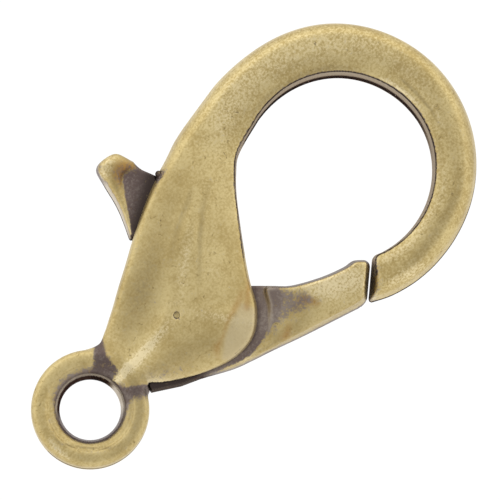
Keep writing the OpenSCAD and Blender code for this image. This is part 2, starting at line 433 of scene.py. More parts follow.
def skin(value: Value, low: Sequence[float], high: Sequence[float], cell: float
         ) -> tuple[Array, NDArray[np.int64]]:
    """The closed surface where a solid's signed distance is nought (surface nets).

    Formula: each cell that the surface cuts gets one point, the mean of where the surface crosses
    the cell's sides, and each crossed side joins the points of its four cells with a quad.

    Args:
        value: the signed distance, negative inside.
        low: the box's lowest corner.
        high: the box's highest corner.
        cell: the cells' size.

    Returns:
        The points and the quads, with the faces outwards.
    """
    axes = [np.arange(a, b + cell, cell) for a, b in zip(low, high)]
    grid = value(axes[0][:, None, None], axes[1][None, :, None], axes[2][None, None, :])
    shape = np.array(grid.shape) - 1
    strides = np.array([shape[1] * shape[2], shape[2], 1])
    sums, counts, quads = np.zeros((3, shape.prod())), np.zeros(shape.prod()), []
    for axis in range(3):
        first = np.take(grid, np.arange(shape[axis]), axis)
        second = np.take(grid, np.arange(1, shape[axis] + 1), axis)
        p, q = (axis + 1) % 3, (axis + 2) % 3
        crossed = (first < 0) != (second < 0)
        node = np.argwhere(crossed)
        a, b = first[crossed], second[crossed]
        keep = (node[:, p] > 0) & (node[:, q] > 0) & (node[:, p] < shape[p]) & (node[:, q] < shape[q])
        node, a, b = node[keep], a[keep], b[keep]
        point = node.astype(float)
        point[:, axis] += a / (a - b)
        here = node @ strides
        corners = np.stack([here - strides[p] - strides[q], here - strides[q], here, here - strides[p]], 1)
        quads.append(np.where((a < 0)[:, None], corners, corners[:, ::-1]))
        for corner in corners.T:
            counts += np.bincount(corner, minlength=len(counts))
            for i in range(3):
                sums[i] += np.bincount(corner, point[:, i], minlength=len(counts))
    used = np.flatnonzero(counts)
    number = np.zeros(len(counts), int)
    number[used] = np.arange(len(used))
    points = (sums[:, used] / counts[used]).T * cell + np.array([axis[0] for axis in axes])
    return points, number[np.vstack(quads)]


def slope(value: Value, points: Array) -> Array:
    """The signed distance's slope, by central differences.

    Args:
        value: the signed distance.
        points: where to measure it.

    Returns:
        The slope in x, y and z at each point.
    """
    step = 0.02
    steps = step * np.eye(3)
    return np.stack([value(*(points + s).T) - value(*(points - s).T) for s in steps], 1) / (2 * step)


def settle(value: Value, points: Array, cell: float) -> tuple[Array, Array]:
    """Moves a skin's points onto the surface itself.

    Formula: three of Newton's steps along the slope, each at most a third of a cell.

    Args:
        value: the signed distance.
        points: the skin's points.
        cell: the cells' size.

    Returns:
        The moved points and the surface's outward direction there.
    """
    shallowest = 0.05
    for _ in range(3):
        way = slope(value, points)
        steep = np.maximum((way**2).sum(1), shallowest)
        move = -(value(*points.T) / steep)[:, None] * way
        length = np.linalg.norm(move, axis=1, keepdims=True)
        points = points + move * np.minimum(1.0, cell / 3 / np.maximum(length, TINY))
    way = slope(value, points)
    return points, way / np.maximum(np.linalg.norm(way, axis=1, keepdims=True), TINY)


def hollowness(value: Value, points: Array, out: Array, depths: Sequence[float]) -> Array:
    """How far a surface lies in a hollow, from 0 on an open face to 1 deep inside.

    Formula: at each depth the share by which the distance a step outwards falls short of the step.

    Args:
        value: the signed distance.
        points: places on the surface.
        out: the outward directions there.
        depths: the steps.

    Returns:
        The mean share for each place.
    """
    total = 0.0
    for depth in depths:
        total = total + np.clip(1.0 - value(*(points + depth * out).T) / depth, 0.0, 1.0)
    return total / len(depths)


def rubbed(value: Value, points: Array, out: Array, depths: Sequence[float]) -> Array:
    """How far a surface stands proud, from 0 on a flat face to 1 on a sharp edge.

    Formula: at each depth the share by which the distance a step inwards falls short of the step.

    Args:
        value: the signed distance.
        points: places on the surface.
        out: the outward directions there.
        depths: the steps.

    Returns:
        The mean share for each place.
    """
    total = 0.0
    for depth in depths:
        total = total + np.clip(1.0 + value(*(points - depth * out).T) / depth, 0.0, 1.0)
    return total / len(depths)


def make_mesh(name: str, points: Array, faces: NDArray[np.int64]) -> bpy.types.Object:
    """Puts a surface in millimetres into a smooth mesh object in metres.

    Args:
        name: the piece's name.
        points: the points.
        faces: the quads' point numbers.

    Returns:
        The new object, at the origin.
    """
    mesh = bpy.data.meshes.new(name)
    mesh.vertices.add(len(points))
    mesh.vertices.foreach_set("co", (points * MM).astype(np.float32).ravel())
    mesh.loops.add(faces.size)
    mesh.loops.foreach_set("vertex_index", faces.astype(np.int32).ravel())
    mesh.polygons.add(len(faces))
    mesh.polygons.foreach_set("loop_start", np.arange(0, faces.size, faces.shape[1], dtype=np.int32))
    mesh.update(calc_edges=True)
    mesh.validate()
    mesh.shade_smooth()
    piece = bpy.data.objects.new(name, mesh)
    bpy.context.scene.collection.objects.link(piece)
    return piece


def wrap_quads(around: int, along: int) -> NDArray[np.int64]:
    """The quads of a grid that closes round its first direction.

    Args:
        around: how many points it has round that direction.
        along: how many it has in the other one.

    Returns:
        The quads' point numbers, where point (i, j) has number i * along + j.
    """
    i, j = np.meshgrid(np.arange(around), np.arange(along - 1), indexing="ij")
    n = (i + 1) % around
    return np.stack([i * along + j, i * along + j + 1, n * along + j + 1, n * along + j], -1).reshape(-1, 4)


def close_ring(piece: bpy.types.Object, ring: NDArray[np.int64]) -> None:
    """Closes a tube's open end with one face.

    Args:
        piece: the tube.
        ring: the numbers of the end's points, in order.
    """
    work = bmesh.new()
    work.from_mesh(piece.data)
    work.verts.ensure_lookup_table()
    work.faces.new([work.verts[int(i)] for i in ring])
    bmesh.ops.recalc_face_normals(work, faces=work.faces)
    work.to_mesh(piece.data)
    work.free()


def paint(piece: bpy.types.Object, name: str, channels: Sequence[Array]) -> None:
    """Stores up to four numbers for each point as a colour attribute that a finish reads.

    Args:
        piece: the piece.
        name: the attribute's name.
        channels: the numbers for red, green, blue and alpha.
    """
    colours = np.ones((len(piece.data.vertices), 4), np.float32)
    for i, channel in enumerate(channels):
        colours[:, i] = channel
    layer = piece.data.attributes.new(name, "FLOAT_COLOR", "POINT")
    layer.data.foreach_set("color", colours.ravel())


def linear(code: str) -> tuple[float, float, float, float]:
    """An sRGB hex colour as linear numbers.

    Formula: p / 12.92 up to 0.04045, and above that ((p + 0.055) / 1.055)^2.4.

    Args:
        code: the colour as a hash sign and six hex digits.

    Returns:
        Red, green, blue and an alpha of 1.
    """
    parts = [int(code[i:i + 2], 16) / 255 for i in (1, 3, 5)]
    r, g, b = (p / 12.92 if p <= 0.04045 else ((p + 0.055) / 1.055) ** 2.4 for p in parts)
    return r, g, b, 1.0


def add_node(tree: bpy.types.NodeTree, kind: str, links: dict[str | int, object] | None = None,
             **settings: object) -> bpy.types.Node:
    """Adds a node with its settings, and sets or links its inputs.

    Args:
        tree: the node tree.
        kind: the node's type.
        links: for each input's name or number a socket to link or a value to set.
        **settings: the node's properties.

    Returns:
        The new node.
    """
    node = tree.nodes.new(kind)
    for key, setting in settings.items():
        setattr(node, key, setting)
    for key, source in (links or {}).items():
        if isinstance(source, bpy.types.NodeSocket):
            tree.links.new(source, node.inputs[key])
        else:
            node.inputs[key].default_value = source
    return node


def new_material(name: str) -> bpy.types.Material:
    """Makes a material with an empty node tree.

    Args:
        name: the material's name.

    Returns:
        The material.
    """
    material = bpy.data.materials.new(name)
    material.use_nodes = True
    material.node_tree.nodes.clear()
    return material


def weighted_sum(tree: bpy.types.NodeTree, start: float, *terms: tuple[Socket, object]) -> Socket:
    """Adds up numbers of a node tree.

    Formula: the start, plus each term's number times its weight.

    Args:
        tree: the node tree.
        start: the number to start from.
        *terms: a number and its weight each, where the weight may be a number of the tree too.

    Returns:
        The sum.
    """
    total: object = start
    for number, weight in terms:
        total = add_node(tree, "ShaderNodeMath", {0: number, 1: weight, 2: total},
                         operation="MULTIPLY_ADD").outputs[0]
    return total


def lay_over(tree: bpy.types.NodeTree, base: str, *layers: tuple[str, Socket]) -> Socket:
    """Lays colours over one another.

    Formula: from below, each layer's colour times its amount plus what lies under it times the rest.

    Args:
        tree: the node tree.
        base: the lowest colour.
        *layers: a colour and its amount each.

    Returns:
        The colour that is seen.
    """
    colour: object = linear(base)
    for code, amount in layers:
        colour = add_node(tree, "ShaderNodeMix", {0: amount, 6: colour, 7: linear(code)},
                          data_type="RGBA").outputs[2]
    return colour


@dataclass(frozen=True)
class AntiqueBrass:
    """Zinc die casting plated with brass, blackened in a bath and relieved with a mop.

    The mop takes the dark film off all that it reaches. Open faces are a satin olive gold, edges
    and ridges are rubbed lighter, and the brown-violet film stays in hollows, pores and bores.
    Painted highlights lighten some ridges and walls, and painted shade darkens some facets, walls,
    bores and the pocket.
    """

    gold: str = "#D7C48E"
    olive: str = "#B8A26B"
    # The rubbed brass, which is also the colour of painted highlights along ridges and on the eye.
    bright: str = "#EEDDB0"
    film: str = "#6E5F5B"
    worn_film: str = "#92867D"
    # The deep film's colour, which also paints shade in the bore, the pocket, on the loop's wall, under the
    # belly's edge and at the lever's tail.
    deep_film_and_shade: str = "#443B38"
    # The pale film's colour, which also paints highlights on lit walls: the loop's wall, the bore's
    # chamfer, the tab's wall and the gate's step.
    thin_film_and_highlight: str = "#D2C6B3"
    # The pores' colour, which also paints shade on facets and slopes turned from the light.
    pore_and_shade: str = "#6B5B40"
    verdigris: str = "#C6B794"
    rust: str = "#A87B3E"
    # Each noise has its patches' size in millimetres, its number of finer layers, and how far its
    # patches are pulled about. The grain is drawn coarser than the plating's own, so that it shows.
    cloud: tuple[float, float, float] = (2.4, 4.0, 0.0)
    mottle: tuple[float, float, float] = (0.42, 4.0, 1.4)
    grain: tuple[float, float, float] = (0.15, 2.0, 0.0)
    fineness: float = 0.62
    bump_mm: float = 0.01
    coarse_from: float = 12.0
    coarse_to: float = 19.0
    satin: float = 0.46
    rubbed_satin: float = 0.36

    def build(self) -> bpy.types.Material:
        """Makes the material.

        Formula: the bare metal, with the film over it where the film's amount, made ragged by the
        noises, passes a smooth step.

        Returns:
            The material. It reads the attributes wear_and_shading (thin film and painted highlight, rubbed,
            film, deep film and painted shade) and marks (verdigris, rust, relief and painted highlight,
            stains and painted shade), and its patterns have real sizes on Object coordinates.
        """
        material = new_material("antique_brass")
        tree = material.node_tree
        place = add_node(tree, "ShaderNodeTexCoord").outputs["Object"]
        wear_and_shading = add_node(tree, "ShaderNodeAttribute", attribute_name="wear_and_shading").outputs
        thin_and_highlight, proud, film = add_node(tree, "ShaderNodeSeparateColor", {0: wear_and_shading["Color"]}).outputs
        cloud, mottle, grain = (
            add_node(tree, "ShaderNodeTexNoise", {
                "Vector": place, "Scale": 1 / (size * MM), "Detail": layers, "Distortion": pull,
                "Roughness": self.fineness}).outputs[0]
            for size, layers, pull in (self.cloud, self.mottle, self.grain))
        uneven = self._unevenness(tree, place, cloud, mottle, grain)
        metal, rub = self._bare_metal(tree, uneven, mottle, grain, proud)
        worn = add_node(tree, "ShaderNodeMapRange", {0: uneven, 1: -0.30, 2: 0.60}, **SMOOTH)
        # The film's colour, darkened by the deep film and painted shade and lightened by the pale film and
        # painted highlights.
        dark = lay_over(tree, self.film, (self.worn_film, worn.outputs[0]),
                        (self.deep_film_and_shade, wear_and_shading["Alpha"]), (self.thin_film_and_highlight, thin_and_highlight))
        ragged = weighted_sum(tree, -1.25, (mottle, 1.5), (grain, 1.0), (film, 1.0))
        covered = add_node(tree, "ShaderNodeMapRange", {0: ragged, 1: 0.15, 2: 0.85}, **SMOOTH)
        colour = add_node(tree, "ShaderNodeMix", {0: covered.outputs[0], 6: metal, 7: dark},
                          data_type="RGBA")
        bump = add_node(tree, "ShaderNodeBump", {
            "Strength": 0.5, "Distance": self.bump_mm * MM,
            "Height": weighted_sum(tree, 0.0, (grain, 1.0), (mottle, 1.0))})
        rough = add_node(tree, "ShaderNodeMapRange", {
            0: rub, 1: 0.0, 2: 1.0, 3: self.satin, 4: self.rubbed_satin})
        # The specular tint dims reflections where the deep film and its painted shade lie.
        shader = add_node(tree, "ShaderNodeBsdfPrincipled", {
            "Base Color": colour.outputs[2], "Metallic": 1.0, "Roughness": rough.outputs[0],
            "Specular Tint": lay_over(tree, "#FFFFFF", (self.film, wear_and_shading["Alpha"])),
            "Normal": bump.outputs[0]})
        add_node(tree, "ShaderNodeOutputMaterial", {"Surface": shader.outputs[0]})
        return material

    def _unevenness(self, tree: bpy.types.NodeTree, place: Socket, cloud: Socket, mottle: Socket,
                    grain: Socket) -> Socket:
        """How light the bare metal and the film are from place to place.

        Formula: 1.8 times the cloud, 1.4 times the mottle and 1.1 times the grain, each less its
        middle of 0.5. The grain doubles from the belly's middle to the hook, which is less mopped.

        Args:
            tree: the node tree.
            place: the piece's own coordinates.
            cloud: the coarse noise.
            mottle: the middle noise.
            grain: the fine noise.

        Returns:
            The sum, about nought.
        """
        along = add_node(tree, "ShaderNodeSeparateXYZ", {0: place}).outputs[0]
        coarser = add_node(tree, "ShaderNodeMapRange", {
            0: along, 1: self.coarse_from * MM, 2: self.coarse_to * MM, 3: 1.0, 4: 2.0}, **SMOOTH)
        fine = weighted_sum(tree, -0.55, (grain, 1.1))
        return weighted_sum(tree, -1.6, (cloud, 1.8), (mottle, 1.4), (fine, coarser.outputs[0]))

    def _bare_metal(self, tree: bpy.types.NodeTree, uneven: Socket, mottle: Socket, grain: Socket,
                    proud: Socket) -> tuple[Socket, Socket]:
        """The plating without the film.

        Formula: olive to gold by the unevenness. It is rubbed bright by a smooth step of the proud
        edges and of the relief, which the grain breaks up; the relief strokes are partly painted
        highlights. Then come the stains and painted shade, broken up by the mottle, the pores in the
        mottle's lowest spots, the verdigris and the rust.

        Args:
            tree: the node tree.
            uneven: how light the metal is.
            mottle: the middle noise.
            grain: the fine noise.
            proud: how proud an edge stands.

        Returns:
            The colour, and how far it is rubbed bright and lit by painted highlights.
        """
        marks = add_node(tree, "ShaderNodeAttribute", attribute_name="marks").outputs
        verdigris, rust, relief_and_highlight = add_node(tree, "ShaderNodeSeparateColor", {0: marks["Color"]}).outputs
        golden = add_node(tree, "ShaderNodeMapRange", {0: uneven, 1: -0.56, 2: 0.56}, **SMOOTH)
        broken = weighted_sum(tree, -0.5, (grain, 3.0))
        mopped_and_highlight = weighted_sum(tree, -0.13, (grain, 0.5), (relief_and_highlight, broken), (proud, 1.0))
        # The mop's rubbing together with the painted highlights of the relief strokes.
        rub = add_node(tree, "ShaderNodeMapRange", {0: mopped_and_highlight, 1: 0.15, 2: 1.15}, **SMOOTH).outputs[0]
        # Stains and painted shade, where the strokes darken facets turned from the light.
        stain_and_shade = weighted_sum(tree, 0.0, (marks["Alpha"], weighted_sum(tree, 0.0, (mottle, 0.9))))
        pores = add_node(tree, "ShaderNodeMapRange", {0: mottle, 1: 0.38, 2: 0.25, 4: 0.75}, **SMOOTH)
        colour = lay_over(tree, self.olive, (self.gold, golden.outputs[0]), (self.bright, rub),
                          (self.pore_and_shade, stain_and_shade), (self.pore_and_shade, pores.outputs[0]),
                          (self.verdigris, verdigris), (self.rust, rust))
        return colour, rub


@dataclass(frozen=True)
class SpringSteel:
    """Drawn spring wire, left bare: a grey metal with slightly lighter and darker spots."""

    grey: str = "#A9A8A4"
    dark: str = "#7B7975"
    spot_mm: float = 0.15
    satin: float = 0.35

    def build(self) -> bpy.types.Material:
        """Makes the material.

        Returns:
            The material, with its pattern on Object coordinates.
        """
        material = new_material("spring_steel")
        tree = material.node_tree
        place = add_node(tree, "ShaderNodeTexCoord").outputs["Object"]
        spots = add_node(tree, "ShaderNodeTexNoise", {"Vector": place, "Scale": 1 / (self.spot_mm * MM)})
        shader = add_node(tree, "ShaderNodeBsdfPrincipled", {
            "Base Color": lay_over(tree, self.dark, (self.grey, spots.outputs[0])),
            "Metallic": 1.0, "Roughness": self.satin})
        add_node(tree, "ShaderNodeOutputMaterial", {"Surface": shader.outputs[0]})
        return material


class Body(Enum):
    """The clasp's two moving bodies."""

    CASTING = "clasp_body"
    LEVER = "clasp_lever"


@dataclass(frozen=True)
class Sizes:
    """Driving sizes that both castings share."""

    reach: float = REACH
    loop_r: float = 6.0
    bar_w: float = 3.5
    bar_t: float = 4.1
    belly_t: float = 5.8
    eye_r: float = 3.769
    eye_t: float = 3.3
    bore_r: float = 1.95
    plate_t: float = 2.4
    slot_t: float = 2.6
    gate_t: float = 4.0
    tab_t: float = 3.4
    pin_r: float = 0.5
    hub_r: float = 1.5
    open_angle: float = 18.0
    pivot: tuple[float, float] = (8.096, 0.551)

    @property
    def hook_out(self) -> float:
        """The hook's outer radius at its widest."""
        return self.loop_r + self.bar_w

    def place(self, sx: float, sy: float) -> tuple[float, float]:
        """A plan point: x as a share of the reach and y of the hook's outer radius."""
        return sx * self.reach, sy * self.hook_out


# The lever's inner side, which faces the hook, from the slot's upper end to the gate's root.
PLATE_INNER = ((0.605, 0.820), (0.495, 0.423), (0.468, 0.212), (0.527, -0.032), (0.606, -0.206))


@dataclass
class CastBody:
    """The hook, the hollow belly and the eye, cast as one."""

    sizes: Sizes
    finish: bpy.types.Material
    cell: float = 0.125
    block: tuple[tuple[float, ...], ...] = ((-4.0, -8.9, -3.1875), (31.6, 10.2, 3.1875))
    plan: PlanGrid = PlanGrid((-5.0, -10.8), (33.0, 11.6))
    waves: tuple[Waviness, ...] = (Waviness(0.020, 2.3, 3), Waviness(0.006, 0.8, 5))
    hollow_depths: tuple[float, ...] = (0.2, 0.45, 0.9)
    spans: int = 5
    hook_crown: float = 0.13
    end_slant: float = 9.0
    slant_share: float = 0.14
    end_r: float = 0.30
    neck_fillet: float = 0.55
    draft: float = 0.16
    ring_draft: float = 0.03
    ring_edge: float = 0.30
    bore_flare: float = 0.22
    bore_straight: float = 0.4
    cut_edge: float = 0.07
    top_z: float = 2.90
    over_pin: float = 0.14
    dimple_r: float = 0.19
    dimple: tuple[float, float] = (7.96, 0.40)
    nub_r: float = 0.20
    nub: tuple[float, float] = (13.45, 7.75)
    belly_rows: tuple[tuple[float, ...], ...] = (
        (0.109, 0.275, 0.130, -0.130, 0.45, 0.30),
        (0.132, 0.270, 0.160, -0.172, 0.54, 0.30),
        (0.155, 0.273, 0.232, -0.262, 0.68, 0.30),
        (0.179, 0.298, 0.314, -0.362, 0.83, 0.28),
        (0.206, 0.332, 0.405, -0.430, 0.93, 0.26),
        (0.246, 0.382, 0.484, -0.412, 0.98, 0.24),
        (0.299, 0.454, 0.548, -0.294, 1.00, 0.22),
        (0.360, 0.532, 0.590, -0.121, 1.00, 0.21),
        (0.430, 0.625, 0.637, 0.046, 0.97, 0.20),
        (0.502, 0.710, 0.689, 0.215, 0.93, 0.18),
        (0.577, 0.792, 0.735, 0.354, 0.88, 0.16),
        (0.658, 0.857, 0.778, 0.460, 0.82, 0.15),
        (0.738, 0.921, 0.827, 0.548, 0.76, 0.14))
    hook_stations: tuple[tuple[float, ...], ...] = (
        (106.0, 1.010, 1.04, 1.02),
        (85.0, 1.000, 0.99, 1.00),
        (50.0, 1.000, 1.012, 1.00),
        (15.0, 1.000, 0.955, 1.00),
        (-20.0, 1.000, 0.864, 1.00),
        (-50.0, 0.995, 0.798, 1.00),
        (-80.0, 0.985, 0.7645, 0.98),
        (-112.5, 0.975, 0.808, 0.97))
    loop_draft: tuple[tuple[float, float], ...] = (
        (-112.0, 0.08), (-77.0, 0.09), (-46.0, 0.07), (-15.0, 0.10), (16.0, 0.10), (50.0, 0.12),
        (78.0, 0.12), (109.0, 0.07), (180.0, 0.07))
    ring_profile: tuple[tuple[float, float], ...] = (
        (1.60, 0.66), (2.10, 0.68), (2.30, 0.80), (2.50, 0.875), (2.62, 0.885), (2.68, 0.90),
        (2.80, 0.975), (3.00, 1.00), (3.25, 0.995), (3.50, 0.96), (3.70, 0.90), (3.95, 0.80))
    keel: Stroke = Stroke((
        (2.6, 0.03, 0.05, 0.40), (3.9, 0.10, 0.14, 0.50), (6.2, 0.25, 0.17, 0.60),
        (8.2, 0.55, 0.15, 0.75), (9.9, 1.75, 0.14, 0.70), (11.3, 3.0, 0.14, 0.70),
        (13.3, 4.3, 0.12, 0.75), (15.0, 5.4, 0.09, 0.85), (16.8, 7.0, 0.04, 1.0),
        (18.9, 8.2, 0.0, 1.0)))
    corner_ridge: Stroke = Stroke((
        (8.2, 0.5, 0.0, 0.6), (9.0, -0.4, 0.06, 0.6), (10.2, -1.9, 0.09, 0.65),
        (11.2, -3.2, 0.06, 0.65)))
    keel_line: Stroke = Stroke((
        (10.0, 1.15, 0.0, 0.16), (11.7, 2.65, 0.03, 0.16), (13.5, 3.85, 0.03, 0.16),
        (15.2, 4.9, 0.0, 0.16)))
    # Relief strokes: ridges rubbed bright, and painted highlights: the streak up the keel from the eye, the
    # lit outer half of the hook and the glint on the eye's lower left.
    relief_and_highlight: tuple[Stroke, ...] = (
        Stroke(((2.1, 0.07, 0.9, 0.26), (2.7, 0.12, 1.1, 0.30), (3.6, 0.15, 1.2, 0.36),
                (5.0, 0.17, 1.0, 0.36), (6.4, 0.28, 0.5, 0.36), (7.9, 0.45, 0.15, 0.34))),
        Stroke(((8.5, 0.7, 0.1, 0.35), (9.9, 1.85, 0.35, 0.4), (11.3, 2.95, 0.35, 0.4),
                (12.4, 3.75, 0.2, 0.4), (13.4, 4.45, 0.05, 0.4), (15.0, 5.4, 0.1, 0.5))),
        round_about(((128, 7.95, 0.15, 1.0), (112, 8.05, 0.38, 1.3), (90, 8.05, 0.38, 1.3),
                        (60, 8.0, 0.36, 1.3), (38, 8.05, 0.34, 1.1), (22, 7.9, 0.25, 1.0),
                        (5, 7.5, 0.25, 0.7), (-12, 7.4, 0.1, 0.5))),
        Stroke(((8.4, 0.3, 0.1, 0.35), (9.2, -0.7, 0.3, 0.4), (10.2, -2.0, 0.35, 0.4),
                (11.0, -3.0, 0.3, 0.4))),
        Stroke(((11.5, 0.9, 0.15, 0.8), (13.0, 2.6, 0.08, 0.8), (14.8, 4.0, 0.05, 0.7))),
        round_about(((24, 6.38, 0.1, 0.14), (15, 6.38, 0.8, 0.16), (3, 6.41, 0.8, 0.15),
                        (-8, 6.48, 0.25, 0.18), (-18, 6.62, 0.1, 0.26), (-35, 6.70, 0.1, 0.30),
                        (-60, 6.62, 0.3, 0.32), (-90, 6.52, 0.4, 0.32), (-108, 6.50, 0.4, 0.3))),
        round_about(((-88, 8.05, 0.1, 0.35), (-98, 8.00, 0.5, 0.40), (-110, 8.00, 0.4, 0.35))),
        round_about(((170, 3.25, 0.1, 0.15), (180, 3.30, 0.6, 0.18), (195, 3.42, 0.6, 0.18),
                        (208, 3.50, 0.1, 0.15)), 0.0),
        round_about(((-4, 7.18, 0.1, 0.10), (-12, 7.16, 0.4, 0.12), (-22, 7.10, 0.3, 0.16))))
    # Painted shade: strokes that darken facets and slopes turned from the light, the inner side of the
    # loop's top, the eye's lower and right side, and thin lines beside ridges and grooves.
    stain_and_shade: tuple[Stroke, ...] = (
        Stroke(((4.6, 1.7, 0.4, 0.7), (7.3, 3.0, 1.0, 1.0), (9.8, 4.5, 0.6, 1.0),
                (12.3, 5.8, 0.35, 0.9), (14.5, 7.0, 0.2, 0.8))),
        round_about(((118, 6.40, 0.4, 0.35), (90, 6.40, 0.8, 0.35), (55, 6.42, 0.9, 0.30),
                        (30, 6.42, 0.2, 0.25))),
        round_about(((-18, 3.15, 0.3, 0.4), (-45, 3.15, 0.7, 0.5), (-80, 3.2, 0.5, 0.4),
                        (-110, 3.3, 0.3, 0.3)), 0.0),
        Stroke(((3.0, -0.9, 0.8, 0.5), (4.6, -1.2, 0.8, 0.5), (7.0, -1.9, 0.6, 0.9),
                (9.2, -2.9, 0.4, 0.8))),
        Stroke(((10.4, 0.90, 0.2, 0.15), (11.4, 1.85, 0.5, 0.16), (12.4, 2.85, 0.6, 0.17),
                (14.0, 4.25, 0.5, 0.18), (15.5, 5.1, 0.1, 0.2))),
        Stroke(((14.4, 5.75, 0.1, 0.20), (13.6, 5.17, 0.6, 0.22), (12.3, 4.60, 0.6, 0.24),
                (10.65, 3.58, 0.5, 0.30), (9.2, 2.6, 0.1, 0.30))),
        round_about(((14, 6.90, 0.1, 0.09), (8, 6.92, 1.0, 0.09), (-8, 6.91, 1.0, 0.10),
                        (-16, 6.92, 0.5, 0.12), (-30, 7.10, 0.2, 0.16))),
        round_about(((40, 7.60, 0.2, 0.4), (0, 7.75, 0.3, 0.45), (-45, 7.50, 0.3, 0.4),
                        (-62, 7.45, 0.6, 0.36), (-92, 7.45, 0.6, 0.36), (-104, 7.4, 0.1, 0.3))),
        round_about(((10, 9.1, 0.1, 0.3), (-12, 9.0, 0.35, 0.35), (-36, 8.45, 0.4, 0.4),
                        (-50, 8.3, 0.1, 0.3))),
        round_about(((-22, 6.48, 0.1, 0.15), (-34, 6.48, 0.35, 0.22), (-50, 6.48, 0.1, 0.2))),
        round_about(((115, 7.05, 0.2, 0.6), (90, 7.05, 0.3, 0.6), (60, 7.05, 0.35, 0.5),
                        (30, 7.05, 0.2, 0.4))),
        round_about(((-195, 2.86, 0.1, 0.08), (-170, 2.87, 1.0, 0.09), (-105, 2.87, 1.0, 0.09),
                        (-80, 2.86, 0.1, 0.08)), 0.0),
        round_about(((165, 2.62, 0.3, 0.25), (100, 2.68, 0.45, 0.3), (55, 2.72, 0.45, 0.3)), 0.0),
        round_about(((-118, 3.10, 0.1, 0.30), (-136, 3.10, 0.45, 0.35), (-152, 3.05, 0.1, 0.30)), 0.0),
        round_about(((-30, 2.62, 0.9, 0.3), (-60, 2.58, 0.6, 0.25), (-120, 2.52, 0.3, 0.2)), 0.0))
    # Tarnish strokes; the one under the belly's edge beside the eye is painted shade, a dark sliver.
    tarnish_and_shade: tuple[Stroke, ...] = (
        Stroke(((3.75, 3.05, 0.4, 0.16), (3.45, 2.75, 0.8, 0.22), (3.1, 2.35, 0.8, 0.26),
                (2.7, 1.9, 0.6, 0.30))),
        Stroke(((2.75, -1.0, 0.7, 0.20), (3.3, -1.42, 0.9, 0.22), (3.9, -1.84, 1.0, 0.16),
                (4.8, -2.38, 0.5, 0.12))),
        Stroke(((17.5, -7.5, 0.5, 0.35), (18.3, -6.8, 0.65, 0.50), (19.2, -6.1, 0.5, 0.35))),
        Stroke(((13.50, 8.05, 1.2, 0.22), (13.42, 7.80, 1.0, 0.18), (13.0, 7.45, 0.5, 0.10),
                (12.4, 6.95, 0.3, 0.10))),
        Stroke(((3.9, -1.35, 0.25, 0.30), (5.0, -1.75, 0.32, 0.35), (6.4, -2.6, 0.2, 0.40))),
        round_about(((-92, 2.86, 0.1, 0.07), (-115, 2.86, 0.2, 0.08), (-150, 2.86, 0.2, 0.08),
                        (-180, 2.86, 0.15, 0.08), (-220, 2.84, 0.1, 0.07)), 0.0))
    lens: Patch = Patch((
        (11.5, -1.85), (11.9, -2.80), (11.1, -3.80), (9.6, -4.40), (8.53, -4.15), (8.12, -3.58),
        (9.15, -2.78), (10.10, -2.27)), 0.65, 0.35)
    rust: tuple[Stroke, ...] = (
        Stroke(((13.1, -1.0, 0.3, 0.14), (12.3, -1.62, 0.5, 0.20), (11.55, -2.30, 0.5, 0.22))),
        Stroke(((12.0, -1.45, 0.3, 0.25), (11.1, -1.80, 0.45, 0.22), (10.1, -2.10, 0.35, 0.13),
                (9.1, -2.62, 0.3, 0.12), (8.4, -2.85, 0.4, 0.22), (8.0, -3.4, 0.2, 0.14))))
    upper_valley: tuple[tuple[float, float], ...] = (
        (2.3, 0.0), (2.76, 2.0), (2.96, 8.0), (3.23, 21.5), (3.58, 30.0), (4.01, 34.5), (4.4, 36.5))
    lower_valley: tuple[tuple[float, float], ...] = (
        (2.2, 13.0), (2.53, 14.0), (3.18, 19.0), (3.95, 23.0), (4.4, 26.0))

    def __post_init__(self) -> None:
        """Works out the plan's maps: outline distance, face height, edge radius, draft and pocket."""
        s, grid = self.sizes, self.plan
        x, y = grid.nodes()
        loft = self.loft()
        row, across = loft.locate(x, y)
        along = row / self.spans - (len(self.belly_rows) - 1)
        on_hook = ramp(along, -4.0, 1.5)
        inner_edge, outer_edge = 0.16 + 0.04 * on_hook, 0.26 + 0.40 * on_hook
        angle = np.degrees(np.arctan2(y, x - s.reach))
        steeper = np.interp(angle, *np.array(self.loop_draft).T) - self.draft
        steeper = steeper * ramp(-across, 0.0, 0.6) * ramp(along, -6.0, -2.0)
        self.side = PlanMap(grid, outline_distance(loft.outline(), x, y))
        self.across = PlanMap(grid, across)
        self.face = PlanMap(grid, self._face_height(loft, row, across))
        self.edge = PlanMap(grid, inner_edge + ramp(across, -0.5, 0.5) * (outer_edge - inner_edge))
        self.steepness = PlanMap(grid, self.draft + steeper)
        self.draft_from = PlanMap(grid, (s.slot_t / 2 - 0.05) * ramp(along, 1.0, -3.0))
        self.pocket = PlanMap(grid, outline_distance(self.pocket_outline(), x, y))
        self.ring = smooth_rows(np.array(self.ring_profile), spans=8)

    def loft(self) -> Loft:
        """The strip from the eye up the belly and clockwise round to the hook's end.

        Returns:
            The strip, with the half thickness and the crown as its further columns.
        """
        s = self.sizes
        rows = [(*s.place(a, b), *s.place(c, d), t * s.belly_t / 2, crown)
                for a, b, c, d, t, crown in self.belly_rows]
        stations = smooth_rows(np.array(self.hook_stations), spans=4)
        share = (stations[0, 0] - stations[:, 0]) / (stations[0, 0] - stations[-1, 0])
        slant = self.end_slant * np.clip(1 - (1 - share) / self.slant_share, 0.0, None)
        inner_r = s.loop_r * stations[:, 1]
        outer_r = inner_r + s.bar_w * stations[:, 2]
        a, b = np.radians(stations[:, 0]), np.radians(stations[:, 0] - slant)
        hook = np.stack([
            s.reach + outer_r * np.cos(b), outer_r * np.sin(b),
            s.reach + inner_r * np.cos(a), inner_r * np.sin(a),
            stations[:, 3] * s.bar_t / 2, np.full(len(a), self.hook_crown)], 1)
        return Loft([*rows, *hook[:-1], *rounded_end(hook[-2], hook[-1], self.end_r)], self.spans)

